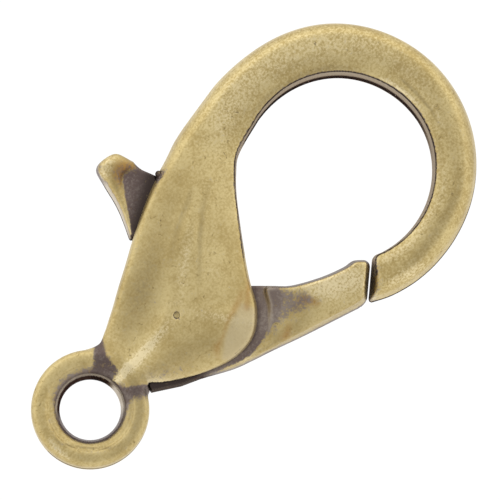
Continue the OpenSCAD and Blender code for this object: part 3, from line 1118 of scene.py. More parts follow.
    def end_corners(self) -> tuple[Array, Array]:
        """The corners of the hook's end face, before they are rounded.

        Returns:
            The outer and the inner corner.
        """
        s = self.sizes
        angle, inner, width, _ = self.hook_stations[-1]
        inner_r = s.loop_r * inner
        corners = []
        for radius, turn in ((inner_r + s.bar_w * width, angle - self.end_slant), (inner_r, angle)):
            corners.append(np.array([s.reach + radius * math.cos(math.radians(turn)),
                                     radius * math.sin(math.radians(turn))]))
        return corners[0], corners[1]

    def height_at(self, x: float, y: float) -> float:
        """The face's height at one place."""
        return float(self.face(np.array(x), np.array(y)))

    def _face_height(self, loft: Loft, row: Array, across: Array) -> Array:
        """The half thickness over the plan.

        Formula: the strip's half thickness times 1 - crown * across^2, plus the keel, the ridge to
        the belly's corner, the rim's bead and the unevenness, less the line beside the keel.

        Args:
            loft: the casting's strip.
            row: the row's number at each of the plan's nodes.
            across: the way across the strip there.

        Returns:
            The height at each node.
        """
        x, y = self.plan.nodes()
        face = loft.column(HALF_THICK, row)
        face = face * (1.0 - loft.column(CROWN, row) * np.clip(across, -1.3, 1.3) ** 2)
        face = face + self.keel.strength(x, y) + self.corner_ridge.strength(x, y)
        face = face - self.keel_line.strength(x, y)
        face = face + self._rim_bead(x, y)
        for wave in self.waves:
            face = face + wave.height_map(self.plan)
        return np.minimum(face, self.top_z)

    def _rim_bead(self, x: Array, y: Array) -> Array:
        """The low bead and groove that run beside the loop's inner edge, down to the hook's end.

        Formula: a narrow ridge and groove at the hook's far side that pass into a wide, low ridge,
        each exp of minus the squared distance over the width's square.

        Args:
            x: places' x.
            y: places' y.

        Returns:
            How much the face is raised at each place.
        """
        s = self.sizes
        radius = np.hypot(x - s.reach, y) - s.loop_r
        angle = np.degrees(np.arctan2(y, x - s.reach))
        near = ramp(-angle, -22.0, -6.0) * (x > 15)
        far = ramp(-angle, 5.0, 30.0) * ramp(-angle, 130.0, 112.0) * near
        bead = 0.030 * (near - far) * np.exp(-((radius - 0.46) / 0.18) ** 2)
        wide_bead = 0.020 * far * np.exp(-((radius - 0.68) / 0.32) ** 2)
        groove = 0.050 * (near - 0.8 * far) * np.exp(-((radius - 0.92) / 0.13) ** 2)
        return bead + wide_bead - groove

    def pocket_outline(self) -> Array:
        """The pocket's plan, which clears the lever where it stands closed and where it stands open.

        Formula: the lever's inner side moved away from the pivot by a gap, its last side also turned
        open, then the belly's open edge, the eye's wall and the spring's seat.

        Returns:
            The outline's points.
        """
        s = self.sizes
        pivot = np.array(s.pivot)
        inner = [np.array(s.place(*p)) for p in PLATE_INNER]
        gap, wall_gap = 0.25, 0.35

        def away(p: Array, distance: float) -> Array:
            """The point moved away from the pivot."""
            return p + distance * (p - pivot) / np.linalg.norm(p - pivot)

        turn = np.radians(s.open_angle)
        matrix = np.array([[math.cos(turn), -math.sin(turn)], [math.sin(turn), math.cos(turn)]])
        opened = [pivot + matrix @ (p - pivot) for p in inner[3:]]
        run = (opened[1] - opened[0]) / np.linalg.norm(opened[1] - opened[0])
        up = wall_gap * np.array([-run[1], run[0]])
        points = [
            s.place(0.66, 1.0), away(inner[0], gap), away(inner[1], wall_gap), away(inner[2], wall_gap),
            opened[0] + up, opened[1] + up, opened[1] + up + s.bar_w / 2 * run,
            s.place(0.66, -0.60), s.place(0.19, -0.60),
            s.place(0.1545, -0.2453), s.place(0.1664, -0.160), s.place(0.205, -0.060),
            *SpringPlace(s).wall_seat(wall_gap)]
        return np.array([tuple(p) for p in points])

    def value(self, x: Array, y: Array, z: Array) -> Array:
        """The casting's signed distance.

        Formula: the bar joined to the eye's ring by a fillet and to the small nub by the slot, less
        the flared bore, the pocket, the pin's hole and the dimple. The face runs on over the pin's
        end as a thin skin.

        Args:
            x: places' x.
            y: places' y.
            z: places' z.

        Returns:
            The distance at each place, negative inside.
        """
        s = self.sizes
        height, radius = np.abs(z), np.hypot(x, y)
        inset = self.steepness(x, y) * np.maximum(height - self.draft_from(x, y), 0.0)
        bar = round_and(inset - self.side(x, y), height - self.face(x, y), self.edge(x, y))
        top = np.interp(radius, self.ring[:, 0], self.ring[:, 1]) * s.eye_t / 2
        ring = round_and(radius - s.eye_r + self.ring_draft * height, height - top, self.ring_edge)
        nub = np.sqrt((x - self.nub[0]) ** 2 + (y - self.nub[1]) ** 2
                      + (0.6 * np.maximum(height - 1.9, 0.0)) ** 2) - self.nub_r
        solid = round_or(round_or(bar, ring, self.neck_fillet), np.maximum(nub, height - 2.2), 0.10)
        bore = s.bore_r + self.bore_flare * np.maximum(height - self.bore_straight, 0.0)
        solid = round_and(solid, bore - radius, self.cut_edge)
        pocket = np.maximum(height - s.slot_t / 2, -self.pocket(x, y))
        solid = round_and(solid, -pocket, self.cut_edge)
        buried = height - self.face(x, y) + self.over_pin
        hole = np.minimum(s.pin_r - 0.03 - np.hypot(x - s.pivot[0], y - s.pivot[1]), -buried)
        dimple = np.minimum(self.dimple_r - np.hypot(x - self.dimple[0], y - self.dimple[1]), buried + 0.04)
        return round_and(np.maximum(solid, hole), dimple, 0.05)

    def build(self) -> bpy.types.Object:
        """Makes the cast body.

        Returns:
            The piece, finished and riding on its body.
        """
        points, quads = skin(self.value, *self.block, self.cell)
        points, out = settle(self.value, points, self.cell)
        piece = make_mesh("cast_body", points, quads)
        self._paint_wear_and_shading(piece, points, out)
        x, y, z = points.T
        verdigris, rust = self.lens.strength(x, y) * (z > 0), strongest(self.rust, x, y) * (z > 0)
        # Marks: the relief channel holds rubbing and painted highlights, and the last channel stains and
        # painted shade.
        paint(piece, "marks", (verdigris, rust, strongest(self.relief_and_highlight, x, y), strongest(self.stain_and_shade, x, y)))
        return dress(piece, self.finish, Body.CASTING, "body")

    def _paint_wear_and_shading(self, piece: bpy.types.Object, points: Array, out: Array) -> None:
        """Paints where the film stays, how pale or deep it is, where the mop has rubbed, and the painted
        highlights and shade.

        Formula: film in the hollows, the bore, the pocket, on the loop's wall, along the parting line
        and in the tarnish strokes, some of which are painted shade. The mop takes it off again along the
        relief's first stroke, the streak up from the eye, which is also a painted highlight. The deep film
        in the pocket, the bore and on the loop's wall is painted shade too.

        Args:
            piece: the casting.
            points: its points in millimetres.
            out: the outward directions there.
        """
        x, y, _ = points.T
        height = np.abs(points[:, 2])
        from_dimple = np.hypot(x - self.dimple[0], y - self.dimple[1])
        rub = rubbed(self.value, points, out, RUB_DEPTHS) * ramp(from_dimple, 0.5, 1.0)
        rub = rub * (1.0 - 0.35 * ramp(x, 17.0, 14.0) * ramp(x, 4.0, 5.0))
        wall, wall_pale_and_highlight = self._loop_wall(x, y, height, np.abs(out[:, 2]))
        eye, eye_pale_and_highlight, eye_deep_and_shade = self._eye_film(x, y, height)
        parting = self._parting_line(x, y, height)
        in_pocket = (self.pocket(x, y) > -0.02) & (height < self.sizes.slot_t / 2 + 0.02)
        pocket = in_pocket.astype(float)
        hollow = hollowness(self.value, points, out, self.hollow_depths) * (0.4 + 1.1 * ramp(x, 4.5, 6.5))
        film = hollow + eye + pocket + wall + parting + strongest(self.tarnish_and_shade, x, y)
        film = np.clip(film + 0.15 * ramp(from_dimple, 0.26, 0.16), 0.0, 1.0)
        film = film * (1.0 - 0.9 * np.clip(self.relief_and_highlight[0].strength(x, y), 0.0, 1.0) * (height > 1.3))
        nub = ramp(np.hypot(x - 13.5, y - 7.95), 0.40, 0.25)
        # Deep film and painted shade in the pocket, on the loop's wall, along the parting line, in the
        # bore's upper side and on the nub.
        deep_and_shade = np.clip(pocket + wall + parting + eye_deep_and_shade + 0.8 * nub, 0.0, 1.0)
        paint(piece, "wear_and_shading", (np.maximum(wall_pale_and_highlight, eye_pale_and_highlight), rub, film, deep_and_shade))

    def _parting_line(self, x: Array, y: Array, height: Array) -> Array:
        """The film along the mould's parting line, at the eye's foot and the hook's outer side.

        Formula: a band about the middle plane that fades in with the distance out and the angle.

        Args:
            x: places' x.
            y: places' y.
            height: their distance from the middle plane.

        Returns:
            The film.
        """
        band = ramp(height, 0.32, 0.18)
        radius, angle = np.hypot(x, y), np.degrees(np.arctan2(y, x))
        at_eye = band * ramp(radius, 3.55, 3.65) * ramp(angle, -55.0, -85.0)
        across = x - self.sizes.reach
        radius, angle = np.hypot(across, y), np.degrees(np.arctan2(y, across))
        at_hook = band * ramp(radius, 7.9, 8.1) * ramp(angle, -30.0, -65.0) * ramp(x, 16.2, 16.6)
        return at_eye + at_hook

    def _loop_wall(self, x: Array, y: Array, height: Array, tilt: Array) -> tuple[Array, Array]:
        """The film on the wall inside the hook's loop, with a painted highlight and painted shade.

        Formula: full film where the place lies on the drafted wall. It is pale, as a painted highlight
        of the lit wall, but dark in a line under the face's edge, as painted shade, and in one along the
        parting line.

        Args:
            x: places' x.
            y: places' y.
            height: their distance from the middle plane.
            tilt: how squarely they face up or down.

        Returns:
            The film and how pale it is, which is the painted highlight.
        """
        angle = np.degrees(np.arctan2(y, x - self.sizes.reach))
        off_wall = np.abs(self.side(x, y) - self.steepness(x, y) * height)
        wall = ramp(off_wall, 0.18, 0.10) * (self.across(x, y) < 0) * (x > 9.0) * ramp(tilt, 0.80, 0.65)
        edge = ramp(tilt, 0.22, 0.45)
        parting = ramp(height, 1.00, 0.60) * ramp(angle, -45.0, -5.0) * ramp(x, 18.4, 19.2)
        return wall, wall * np.clip(1.0 - edge - parting, 0.0, 1.0)

    def _eye_film(self, x: Array, y: Array, height: Array) -> tuple[Array, Array, Array]:
        """The film in the eye: its bore, its mouths' rims and the valleys beside the neck, with painted
        light and shade.

        Formula: bands of the distance from the bore's axis, and a wedge on either side of the neck
        that opens as the distance grows. On the upper side the rim's film is wider as painted shade, the
        chamfer is pale as a painted highlight and the bore's wall is deep as painted shade.

        Args:
            x: places' x.
            y: places' y.
            height: their distance from the middle plane.

        Returns:
            The film, how pale it is as a painted highlight, and how deep as painted shade.
        """
        radius, angle = np.hypot(x, y), np.degrees(np.arctan2(y, x))
        bore = ramp(radius, 2.25, 2.17) * (height < 2.2)
        # Painted highlight: the bore's chamfer is pale on the upper side.
        chamfer = bore * np.maximum(ramp(radius, 2.09, 2.13), ramp(np.abs(angle + 40.0), 55.0, 35.0))
        chamfer = chamfer * ramp(np.abs(angle - 48.0), 115.0, 80.0)
        # Painted shade: the rim's film is wider and stronger on the upper side.
        shaded = ramp(np.abs(angle - 40.0), 120.0, 60.0)
        rim = (0.55 + 0.45 * shaded) * ramp(radius, 2.38 + 0.46 * shaded, 2.16)
        upper = np.interp(radius, *np.array(self.upper_valley).T)
        upper = ramp(angle, upper - 6.0, upper + 6.0) * ramp(angle, 46.0, 38.5)
        lower = np.interp(radius, *np.array(self.lower_valley).T)
        lower = ramp(-angle, lower - 4.0, lower + 3.0) * ramp(-angle, 42.0, 25.0)
        valleys = 0.85 * np.maximum(upper, lower) * ramp(radius, 4.8, 4.0)
        # Painted shade: deep film on the bore's upper wall.
        deep_and_shade = 0.85 * ramp(radius, 2.14, 2.08) * ramp(np.abs(angle - 75.0), 90.0, 60.0) + 0.35 * valleys
        return np.clip(bore + rim + valleys, 0.0, 1.0), chamfer, deep_and_shade


@dataclass(frozen=True)
class SpringPlace:
    """Where the spring stands: past the hub, from the pocket's eye wall to the lever's heel."""

    sizes: Sizes
    angle: float = 25.0
    outer_r: float = 0.85
    wire_r: float = 0.14
    gap: float = 0.1
    length_share: float = 0.142
    back_share: float = 0.117

    @property
    def way(self) -> Array:
        """The spring's direction in the plan."""
        return np.array([math.cos(math.radians(self.angle)), math.sin(math.radians(self.angle))])

    @property
    def side(self) -> Array:
        """The direction square to the spring, away from the hub."""
        return np.array([-self.way[1], self.way[0]])

    @property
    def length(self) -> float:
        """The spring's length between its seats."""
        return self.length_share * self.sizes.reach

    @property
    def foot(self) -> Array:
        """The middle of its seat on the pocket's wall."""
        lift = self.sizes.hub_r + self.gap + self.outer_r
        return np.array(self.sizes.pivot) + lift * self.side - self.back_share * self.sizes.reach * self.way

    def wall_seat(self, wall_gap: float) -> list[Array]:
        """The pocket outline's last three points, round the spring's seat.

        Args:
            wall_gap: how far the pocket stands off the spring on either side.

        Returns:
            The points.
        """
        low, high = self.foot - self.outer_r * self.side, self.foot + self.outer_r * self.side
        return [low - wall_gap * self.side, high + wall_gap * self.side,
                high + self.sizes.bar_w / 2 * self.side]

    def heel(self) -> list[Array]:
        """The lever's heel, which the spring pushes on.

        Returns:
            Its two corners.
        """
        head = self.foot + self.length * self.way
        return [head - self.outer_r * self.side, head + self.outer_r * self.side]


@dataclass
class SprungLever:
    """The gate, the hub and the thumb tab, cast as one."""

    sizes: Sizes
    finish: bpy.types.Material
    end_outer: Array
    end_inner: Array
    cell: float = 0.10
    block: tuple[tuple[float, ...], ...] = ((3.2, -8.4, -2.35), (20.6, 11.4, 2.35))
    plan: PlanGrid = PlanGrid((3.0, -9.6), (21.0, 12.4), 0.08)
    wave: Waviness = Waviness(0.018, 1.7, 11)
    hollow_depths: tuple[float, ...] = (0.15, 0.35, 0.7)
    spans: int = 6
    crown: float = 0.05
    valley: float = 0.10
    tip_gap: float = 0.08
    tip_r: float = 0.55
    draft: float = 0.14
    tab_draft: float = 0.09
    tab_crown: float = 0.10
    plate_edge: float = 0.08
    gate_edge: float = 0.20
    gate_fillet: float = 0.18
    tab_edge: float = 0.30
    tab_fillet: float = 0.50
    pin_gap: float = 0.05
    gate_rows: tuple[tuple[float, ...], ...] = (
        (0.296, -0.358, 0.296, -0.366, 0.50),
        (0.380, -0.435, 0.378, -0.468, 0.53),
        (0.447, -0.475, 0.438, -0.518, 0.56),
        (0.513, -0.440, 0.499, -0.562, 0.62),
        (0.566, -0.335, 0.559, -0.609, 0.72),
        (0.606, -0.212, 0.609, -0.647, 0.80),
        (0.669, -0.331, 0.666, -0.687, 0.88),
        (0.747, -0.428, 0.721, -0.726, 0.94),
        (0.814, -0.485, 0.762, -0.755, 0.98),
        (0.848, -0.499, 0.775, -0.765, 0.985))
    tab_rows: tuple[tuple[float, ...], ...] = (
        (0.425, 0.640, 0.440, 0.650, 0.62),
        (0.447, 0.759, 0.475, 0.770, 0.70),
        (0.465, 0.878, 0.503, 0.880, 0.80),
        (0.479, 1.020, 0.528, 0.960, 0.92),
        (0.494, 1.133, 0.545, 0.975, 1.00),
        (0.530, 1.153, 0.558, 0.970, 1.00),
        (0.571, 1.118, 0.568, 0.955, 0.90),
        (0.590, 0.996, 0.578, 0.930, 0.74))
    # Tarnish on the gate's root, which also paints shade where the gate comes out under the belly's edge.
    tarnish_and_shade: tuple[Patch, ...] = (
        Patch(((13.2, -1.7), (14.2, -3.0), (14.9, -4.2), (15.2, -5.1), (14.3, -4.95), (12.9, -4.6),
               (12.0, -4.55), (10.8, -4.45), (8.9, -4.36), (7.4, -4.0), (7.4, -3.0),
               (12.0, -2.0)), 0.65, 0.9),
        Patch(((13.6, -1.8), (14.0, -2.7), (13.9, -3.5), (12.8, -4.2), (11.2, -4.35), (8.9, -4.3),
               (7.4, -3.9), (7.4, -3.0), (12.0, -2.0)), 0.95, 0.6))
    # Painted shade on the plate beside the belly's edge by the tab.
    plate_shade: Stroke = Stroke((
        (9.2, 5.7, 1.0, 0.45), (11.0, 6.8, 1.0, 0.55), (12.6, 7.6, 1.0, 0.65), (13.3, 8.1, 1.0, 0.6)))
    relief_and_highlight: tuple[Stroke, ...] = (
        Stroke(((12.6, -5.5, 0.1, 0.2), (10.8, -4.95, 0.1, 0.2), (9.0, -4.5, 0.3, 0.15))),
        Stroke(((14.6, -3.8, 0.3, 0.5), (16.2, -4.9, 0.8, 0.9), (17.7, -5.7, 0.7, 0.9))),
        Stroke(((10.9, 10.2, 0.55, 0.50), (11.9, 10.5, 0.45, 0.40))))
    stain_and_shade: tuple[Stroke, ...] = (
        Stroke(((15.2, -5.2, 0.3, 0.5), (13.4, -5.3, 0.5, 0.5), (11.6, -4.9, 0.6, 0.4))),
        Stroke(((14.6, -3.9, 0.5, 0.3), (14.9, -5.0, 0.5, 0.3))))
    rust: tuple[Stroke, ...] = (
        Stroke(((14.3, -4.25, 0.3, 0.25), (14.7, -4.6, 0.6, 0.28), (15.0, -5.2, 0.4, 0.20))),
        Stroke(((11.8, -5.15, 0.2, 0.2), (12.2, -5.28, 0.6, 0.22), (12.7, -5.0, 0.3, 0.2))))
    speckled: Stroke = Stroke(((10.45, 9.6, 0.2, 0.25), (10.7, 10.5, 0.5, 0.30), (11.3, 10.95, 0.3, 0.25)))
    plate_points: tuple[tuple[float, float], ...] = (
        *PLATE_INNER,
        (0.655, -0.340), (0.665, -0.560), (0.500, -0.545), (0.378, -0.452), (0.316, -0.380),
        (0.240, -0.305), (0.192, -0.236), (0.1636, -0.1951), (0.1682, -0.1624), (0.207, -0.0642),
        (0.296, -0.110), (0.302, 0.030))
    tab_points: tuple[tuple[float, float], ...] = (
        (0.434, 0.617), (0.478, 0.800), (0.505, 0.950), (0.524, 1.030), (0.545, 1.050), (0.562, 1.030),
        (0.587, 0.920))

    def __post_init__(self) -> None:
        """Works out the plan's maps: outline distances and face heights of gate, tab and plate."""
        s, grid = self.sizes, self.plan
        x, y = grid.nodes()
        gate = self.gate_loft()
        row, across = gate.locate(x, y)
        tip = ramp(row / self.spans, 4.0, 9.5)
        valley = self.valley * (1.0 - tip) * np.exp(-((across - 0.35) / 0.75) ** 2)
        face = gate.column(HALF_THICK, row) * (1.0 - self.crown * across**2) - valley
        self.gate_side = PlanMap(grid, outline_distance(gate.outline(), x, y))
        self.gate_across = PlanMap(grid, across)
        self.gate_face = PlanMap(grid, face + self.wave.height_map(grid))
        tab = Loft([(*s.place(a, b), *s.place(c, d), t * s.tab_t / 2) for a, b, c, d, t in self.tab_rows],
                   self.spans)
        row, across = tab.locate(x, y)
        face = tab.column(HALF_THICK, row) * (1.0 - self.tab_crown * np.clip(across, -1, 1) ** 2)
        self.tab_side = PlanMap(grid, outline_distance(tab.outline(), x, y))
        self.tab_across = PlanMap(grid, across)
        self.tab_face = PlanMap(grid, face)
        plate = np.array([s.place(*p) for p in self.plate_points]
                         + [tuple(p) for p in SpringPlace(s).heel()]
                         + [s.place(*p) for p in self.tab_points])
        self.plate_side = PlanMap(grid, outline_distance(plate, x, y))

    def gate_loft(self) -> Loft:
        """The gate's strip, from its tail under the belly to its tip by the hook's end face.

        Returns:
            The strip, with the half thickness as its further column.
        """
        s = self.sizes
        rows = [(*s.place(a, b), *s.place(c, d), t * s.gate_t / 2) for a, b, c, d, t in self.gate_rows]
        along = (self.end_inner - self.end_outer) / np.linalg.norm(self.end_inner - self.end_outer)
        front = np.array([-along[1], along[0]])

        def by_end(share: float) -> Array:
            """A point one gap in front of the hook's end face, at a share of the bar's width."""
            return self.end_inner + share * s.bar_w * along + self.tip_gap * front

        end = np.array([*by_end(-0.05), *by_end(-0.90), 0.99 * s.gate_t / 2])
        return Loft([*rows, *rounded_end(np.array(rows[-1]), end, self.tip_r)], self.spans)

    def value(self, x: Array, y: Array, z: Array) -> Array:
        """The lever's signed distance.

        Formula: the plate with its round hub, joined by fillets to the drafted gate and tab, less the
        pin's bore.

        Args:
            x: places' x.
            y: places' y.
            z: places' z.

        Returns:
            The distance at each place, negative inside.
        """
        s = self.sizes
        height = np.abs(z)
        hub = np.hypot(x - s.pivot[0], y - s.pivot[1]) - s.hub_r
        plate = np.minimum(-self.plate_side(x, y), hub)
        plate = round_and(plate, height - s.plate_t / 2, self.plate_edge)
        gate = round_and(self.draft * height - self.gate_side(x, y), height - self.gate_face(x, y),
                         self.gate_edge)
        tab = round_and(self.tab_draft * height - self.tab_side(x, y), height - self.tab_face(x, y),
                        self.tab_edge)
        solid = round_or(round_or(plate, gate, self.gate_fillet), tab, self.tab_fillet)
        return round_and(solid, s.pin_r + self.pin_gap - (hub + s.hub_r), 0.05)

    def build(self) -> bpy.types.Object:
        """Makes the lever.

        Returns:
            The piece, finished and riding on its body.
        """
        points, quads = skin(self.value, *self.block, self.cell)
        points, out = settle(self.value, points, self.cell)
        piece = make_mesh("sprung_lever", points, quads)
        self._paint_wear_and_shading(piece, points, out)
        self._paint_marks(piece, points, out)
        return dress(piece, self.finish, Body.LEVER, "lever")

    def _paint_wear_and_shading(self, piece: bpy.types.Object, points: Array, out: Array) -> None:
        """Paints where the film stays, how pale or deep it is, where the mop has rubbed, and the painted
        highlights and shade.

        Formula: film in the hollows, on the plate, on the walls beside the belly, and in the tarnish,
        but little of it on the gate's low rim. It is deepest, as painted shade, on the plate near the slot
        and the tail and beside the gate's root; the tab's wall and the gate's step are pale as painted
        highlights.

        Args:
            piece: the lever.
            points: its points in millimetres.
            out: the outward directions there.
        """
        x, y, _ = points.T
        height, tilt = np.abs(points[:, 2]), np.abs(out[:, 2])
        gate_side, tab_side = self.gate_side(x, y), self.tab_side(x, y)
        spot, corner, bulb = self._tab_stains(x, y)
        tab_wall = self._tab_wall(x, y, height, tilt)
        upper_wall, step_wall = self._gate_walls(x, y, height, tilt)
        tarnished_and_shaded = strongest(self.tarnish_and_shade, x, y)
        on_plate = ramp(height, 1.32, 1.22) * ramp(np.maximum(gate_side, tab_side), 0.12, 0.0)
        hollow = 1.3 * hollowness(self.value, points, out, self.hollow_depths)
        film = np.clip(hollow + tarnished_and_shaded, 0.0, 1.0) * (1.0 - 0.9 * self._low_rim(x, y))
        film = film + 0.2 * corner + on_plate + 0.35 * bulb + tab_wall + self.speckled.strength(x, y)
        film = np.maximum(np.clip(film, 0.0, 1.0), np.maximum(upper_wall, step_wall))
        parting = ramp(height, 0.40, 0.20)
        shade = 0.95 * self.plate_shade.strength(x, y) + ramp(x, 8.0, 6.0)
        shade = shade + 0.35 * ramp(gate_side, -0.25, -0.5) * (y < 0)
        # Painted shade: the plate darkens by the belly's edge, at the tail and beside the gate's root, with
        # a dark line under the tab wall's highlight and some on the gate's upper wall.
        deep_and_shade = on_plate * shade + tab_wall * parting + 0.3 * upper_wall * (1.0 - step_wall)
        # Painted highlights: the tab's outer wall, the gate's step and its upper wall are paled.
        pale_and_highlight = tab_wall * (1.0 - parting) + 0.28 * step_wall + 0.15 * upper_wall
        pale_and_highlight = pale_and_highlight + 0.12 * tarnished_and_shaded * ramp(gate_side, -0.6, -0.1)
        rub = rubbed(self.value, points, out, RUB_DEPTHS)
        rub = rub * (1.0 - 0.8 * np.clip(tarnished_and_shaded + 1.2 * np.maximum(spot, corner), 0.0, 1.0))
        paint(piece, "wear_and_shading", (np.clip(pale_and_highlight, 0.0, 1.0), rub, film, np.clip(deep_and_shade, 0.0, 1.0)))

    def _paint_marks(self, piece: bpy.types.Object, points: Array, out: Array) -> None:
        """Paints the rust on the upper side, the relief and the dull places.

        Formula: the strokes, the tab's stains, and a slight relief on the gate's low wall.

        Args:
            piece: the lever.
            points: its points in millimetres.
            out: the outward directions there.
        """
        x, y, z = points.T
        spot, _, bulb = self._tab_stains(x, y)
        low_wall = ramp(np.abs(out[:, 2]), 0.5, 0.3) * ramp(self.gate_across(x, y), -0.5, -0.8)
        low_wall = low_wall * (self.gate_side(x, y) > -0.1)
        rust = (0.75 * spot + strongest(self.rust, x, y)) * (z > 0)
        relief_and_highlight = strongest(self.relief_and_highlight, x, y) + 0.2 * low_wall
        stain_and_shade = 0.8 * np.maximum(spot, bulb) + strongest(self.stain_and_shade, x, y) + 0.4 * self._low_rim(x, y)
        paint(piece, "marks", (np.zeros(len(x)), rust, relief_and_highlight, stain_and_shade))

    def _low_rim(self, x: Array, y: Array) -> Array:
        """The strip along the gate's lower edge, which the mop keeps free of film.

        Formula: bands of the distance from the edge and of the way across, below the belly's corner.

        Args:
            x: places' x.
            y: places' y.

        Returns:
            1 on the strip and 0 elsewhere.
        """
        side = self.gate_side(x, y)
        rim = ramp(side, 0.46, 0.30) * ramp(self.gate_across(x, y), 0.1, -0.1)
        return rim * ramp(side, -0.1, 0.0) * ramp(y, -3.6, -3.9)

    def _tab_stains(self, x: Array, y: Array) -> tuple[Array, Array, Array]:
        """The stains on the thumb tab.

        Formula: two round spots that fade from their middle, and a band across the tab's bulb.

        Args:
            x: places' x.
            y: places' y.

        Returns:
            The rust spot, the film in the tab's corner, and the stain on its bulb.
        """
        spot = ramp(1.0 - np.hypot((x - 12.0) / 1.15, (y - 9.25) / 1.15), 0.0, 0.75)
        spot = spot * (self.tab_side(x, y) > 0.05)
        corner = ramp(1.0 - np.hypot((x - 12.1) / 0.9, (y - 9.05) / 0.9), 0.0, 0.7)
        bulb = ramp(y, 8.3, 9.2) * ramp(self.tab_across(x, y), 0.5, -0.6) * ramp(y, 10.7, 9.9)
        return spot, corner, bulb

    def _tab_wall(self, x: Array, y: Array, height: Array, tilt: Array) -> Array:
        """The film on the tab's outer wall, also the mask of its painted highlight and shade line.

        Formula: full film where the place lies on the drafted wall, fading out at the bulb.

        Args:
            x: places' x.
            y: places' y.
            height: their distance from the middle plane.
            tilt: how squarely they face up or down.

        Returns:
            The film.
        """
        off_wall = np.abs(self.tab_side(x, y) - self.tab_draft * height)
        wall = ramp(off_wall, 0.14, 0.07) * ramp(self.tab_across(x, y), 0.3, 0.6)
        return wall * ramp(tilt, 0.7, 0.5) * ramp(y, 10.2, 9.4) * (y > 5.0)

    def _gate_walls(self, x: Array, y: Array, height: Array, tilt: Array) -> tuple[Array, Array]:
        """The film on the gate's upper wall and on its step down to the plate, also the masks of their
        painted highlights and of the upper wall's painted shade.

        Formula: bands of the way across the gate, of the distance from its edge and of the height.

        Args:
            x: places' x.
            y: places' y.
            height: their distance from the middle plane.
            tilt: how squarely they face up or down.

        Returns:
            The film on the wall and the film on the step.
        """
        side, across = self.gate_side(x, y), self.gate_across(x, y)
        upper = ramp(across, 0.6, 0.8) * ramp(tilt, 0.7, 0.4) * (y < 0)
        step = ramp(x, 13.9, 13.4) * ramp(side, -0.30, -0.20) * ramp(side, 0.52, 0.30)
        step = step * ramp(height, 1.205, 1.24) * (y < 0) * ramp(x, 10.8, 11.4)
        return upper, step * ramp(across, 0.2, 0.5)


@dataclass
class PivotPin:
    """The plain pin through the belly and the hub, with softly dished ends."""

    sizes: Sizes
    finish: bpy.types.Material
    half_length: float
    around: int = 48

    def build(self) -> bpy.types.Object:
        """Makes the pin.

        Formula: half a profile turned round the pin's axis, over the angle and the profile's place.

        Returns:
            The piece, finished and riding on its body.
        """
        r, h = self.sizes.pin_r, self.half_length
        profile = np.array([(0.1 * r, h - 0.05), (0.3 * r, h - 0.04), (0.6 * r, h - 0.005), (0.8 * r, h),
                            (0.95 * r, h - 0.02), (r, h - 0.06), (r, 0.6 * h), (r, 0.2 * h)])
        profile = np.vstack([profile, profile[::-1] * (1, -1)])
        angle = np.linspace(0, 2 * math.pi, self.around, endpoint=False)[:, None]
        points = np.stack([
            self.sizes.pivot[0] + profile[None, :, 0] * np.cos(angle),
            self.sizes.pivot[1] + profile[None, :, 0] * np.sin(angle),
            np.broadcast_to(profile[None, :, 1], (self.around, len(profile)))], -1)
        piece = make_mesh("rivet_pin", points.reshape(-1, 3), wrap_quads(self.around, len(profile)))
        for end in (0, len(profile) - 1):
            close_ring(piece, np.arange(self.around) * len(profile) + end)
        ends = (np.abs(points[..., 2]) > 0.9 * h).astype(float).ravel()
        none = 0 * ends
        paint(piece, "wear_and_shading", (none, none, 0.1 * ends, none))
        paint(piece, "marks", (none, none, none, 0.4 * ends))
        return dress(piece, self.finish, Body.CASTING, "pivot_pin")


@dataclass
class CoilSpring:
    """The small compression spring between the pocket's wall and the lever's heel."""

    place: SpringPlace
    finish: bpy.types.Material
    turns: float = 5.0
    around: int = 14
    along: int = 241
    end_gap: float = 0.02
    squashed_share: float = 0.66

    def build(self) -> bpy.types.Object:
        """Makes the coil.

        Formula: a circle of the wire's radius carried along a helix, square to it, at even steps of
        the helix's angle.

        Returns:
            The piece, finished and riding on its body.
        """
        p = self.place
        t = np.linspace(0, 1, self.along)
        turn = 2 * math.pi * self.turns * t
        coil_r = p.outer_r - p.wire_r
        rise = (p.length - 2 * self.end_gap - 2 * p.wire_r) * t + self.end_gap + p.wire_r
        centre = np.stack([coil_r * np.cos(turn), coil_r * np.sin(turn), rise], 1)
        tangent = np.gradient(centre, axis=0)
        tangent /= np.linalg.norm(tangent, axis=1, keepdims=True)
        outward = np.stack([np.cos(turn), np.sin(turn), 0 * t], 1)
        across = np.cross(tangent, outward)
        w = np.linspace(0, 2 * math.pi, self.around, endpoint=False)[:, None, None]
        tube = centre[None] + p.wire_r * (np.cos(w) * outward[None] + np.sin(w) * across[None])
        way, side, foot = (np.append(v, 0.0) for v in (p.way, p.side, p.foot))
        basis = np.stack([side, np.cross(way, side), way])
        quads = wrap_quads(self.around, self.along)
        piece = make_mesh("coil_spring", tube.reshape(-1, 3) @ basis + foot, quads[:, ::-1])
        for end in (0, self.along - 1):
            close_ring(piece, np.arange(self.around) * self.along + end)
        piece = dress(piece, self.finish, Body.CASTING, "spring")
        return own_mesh(piece)


def dress(piece: bpy.types.Object, finish: bpy.types.Material, body: Body, node: str) -> bpy.types.Object:
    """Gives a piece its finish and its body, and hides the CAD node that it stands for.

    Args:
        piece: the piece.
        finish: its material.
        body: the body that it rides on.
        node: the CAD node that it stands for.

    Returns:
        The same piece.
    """
    piece.data.materials.append(finish)
    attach(piece, body.value)
    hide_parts(node)
    faces = len(piece.data.polygons)
    log.info("%s: %d faces, rides on %s, finish %s", piece.name, faces, body.value, finish.name)
    return piece


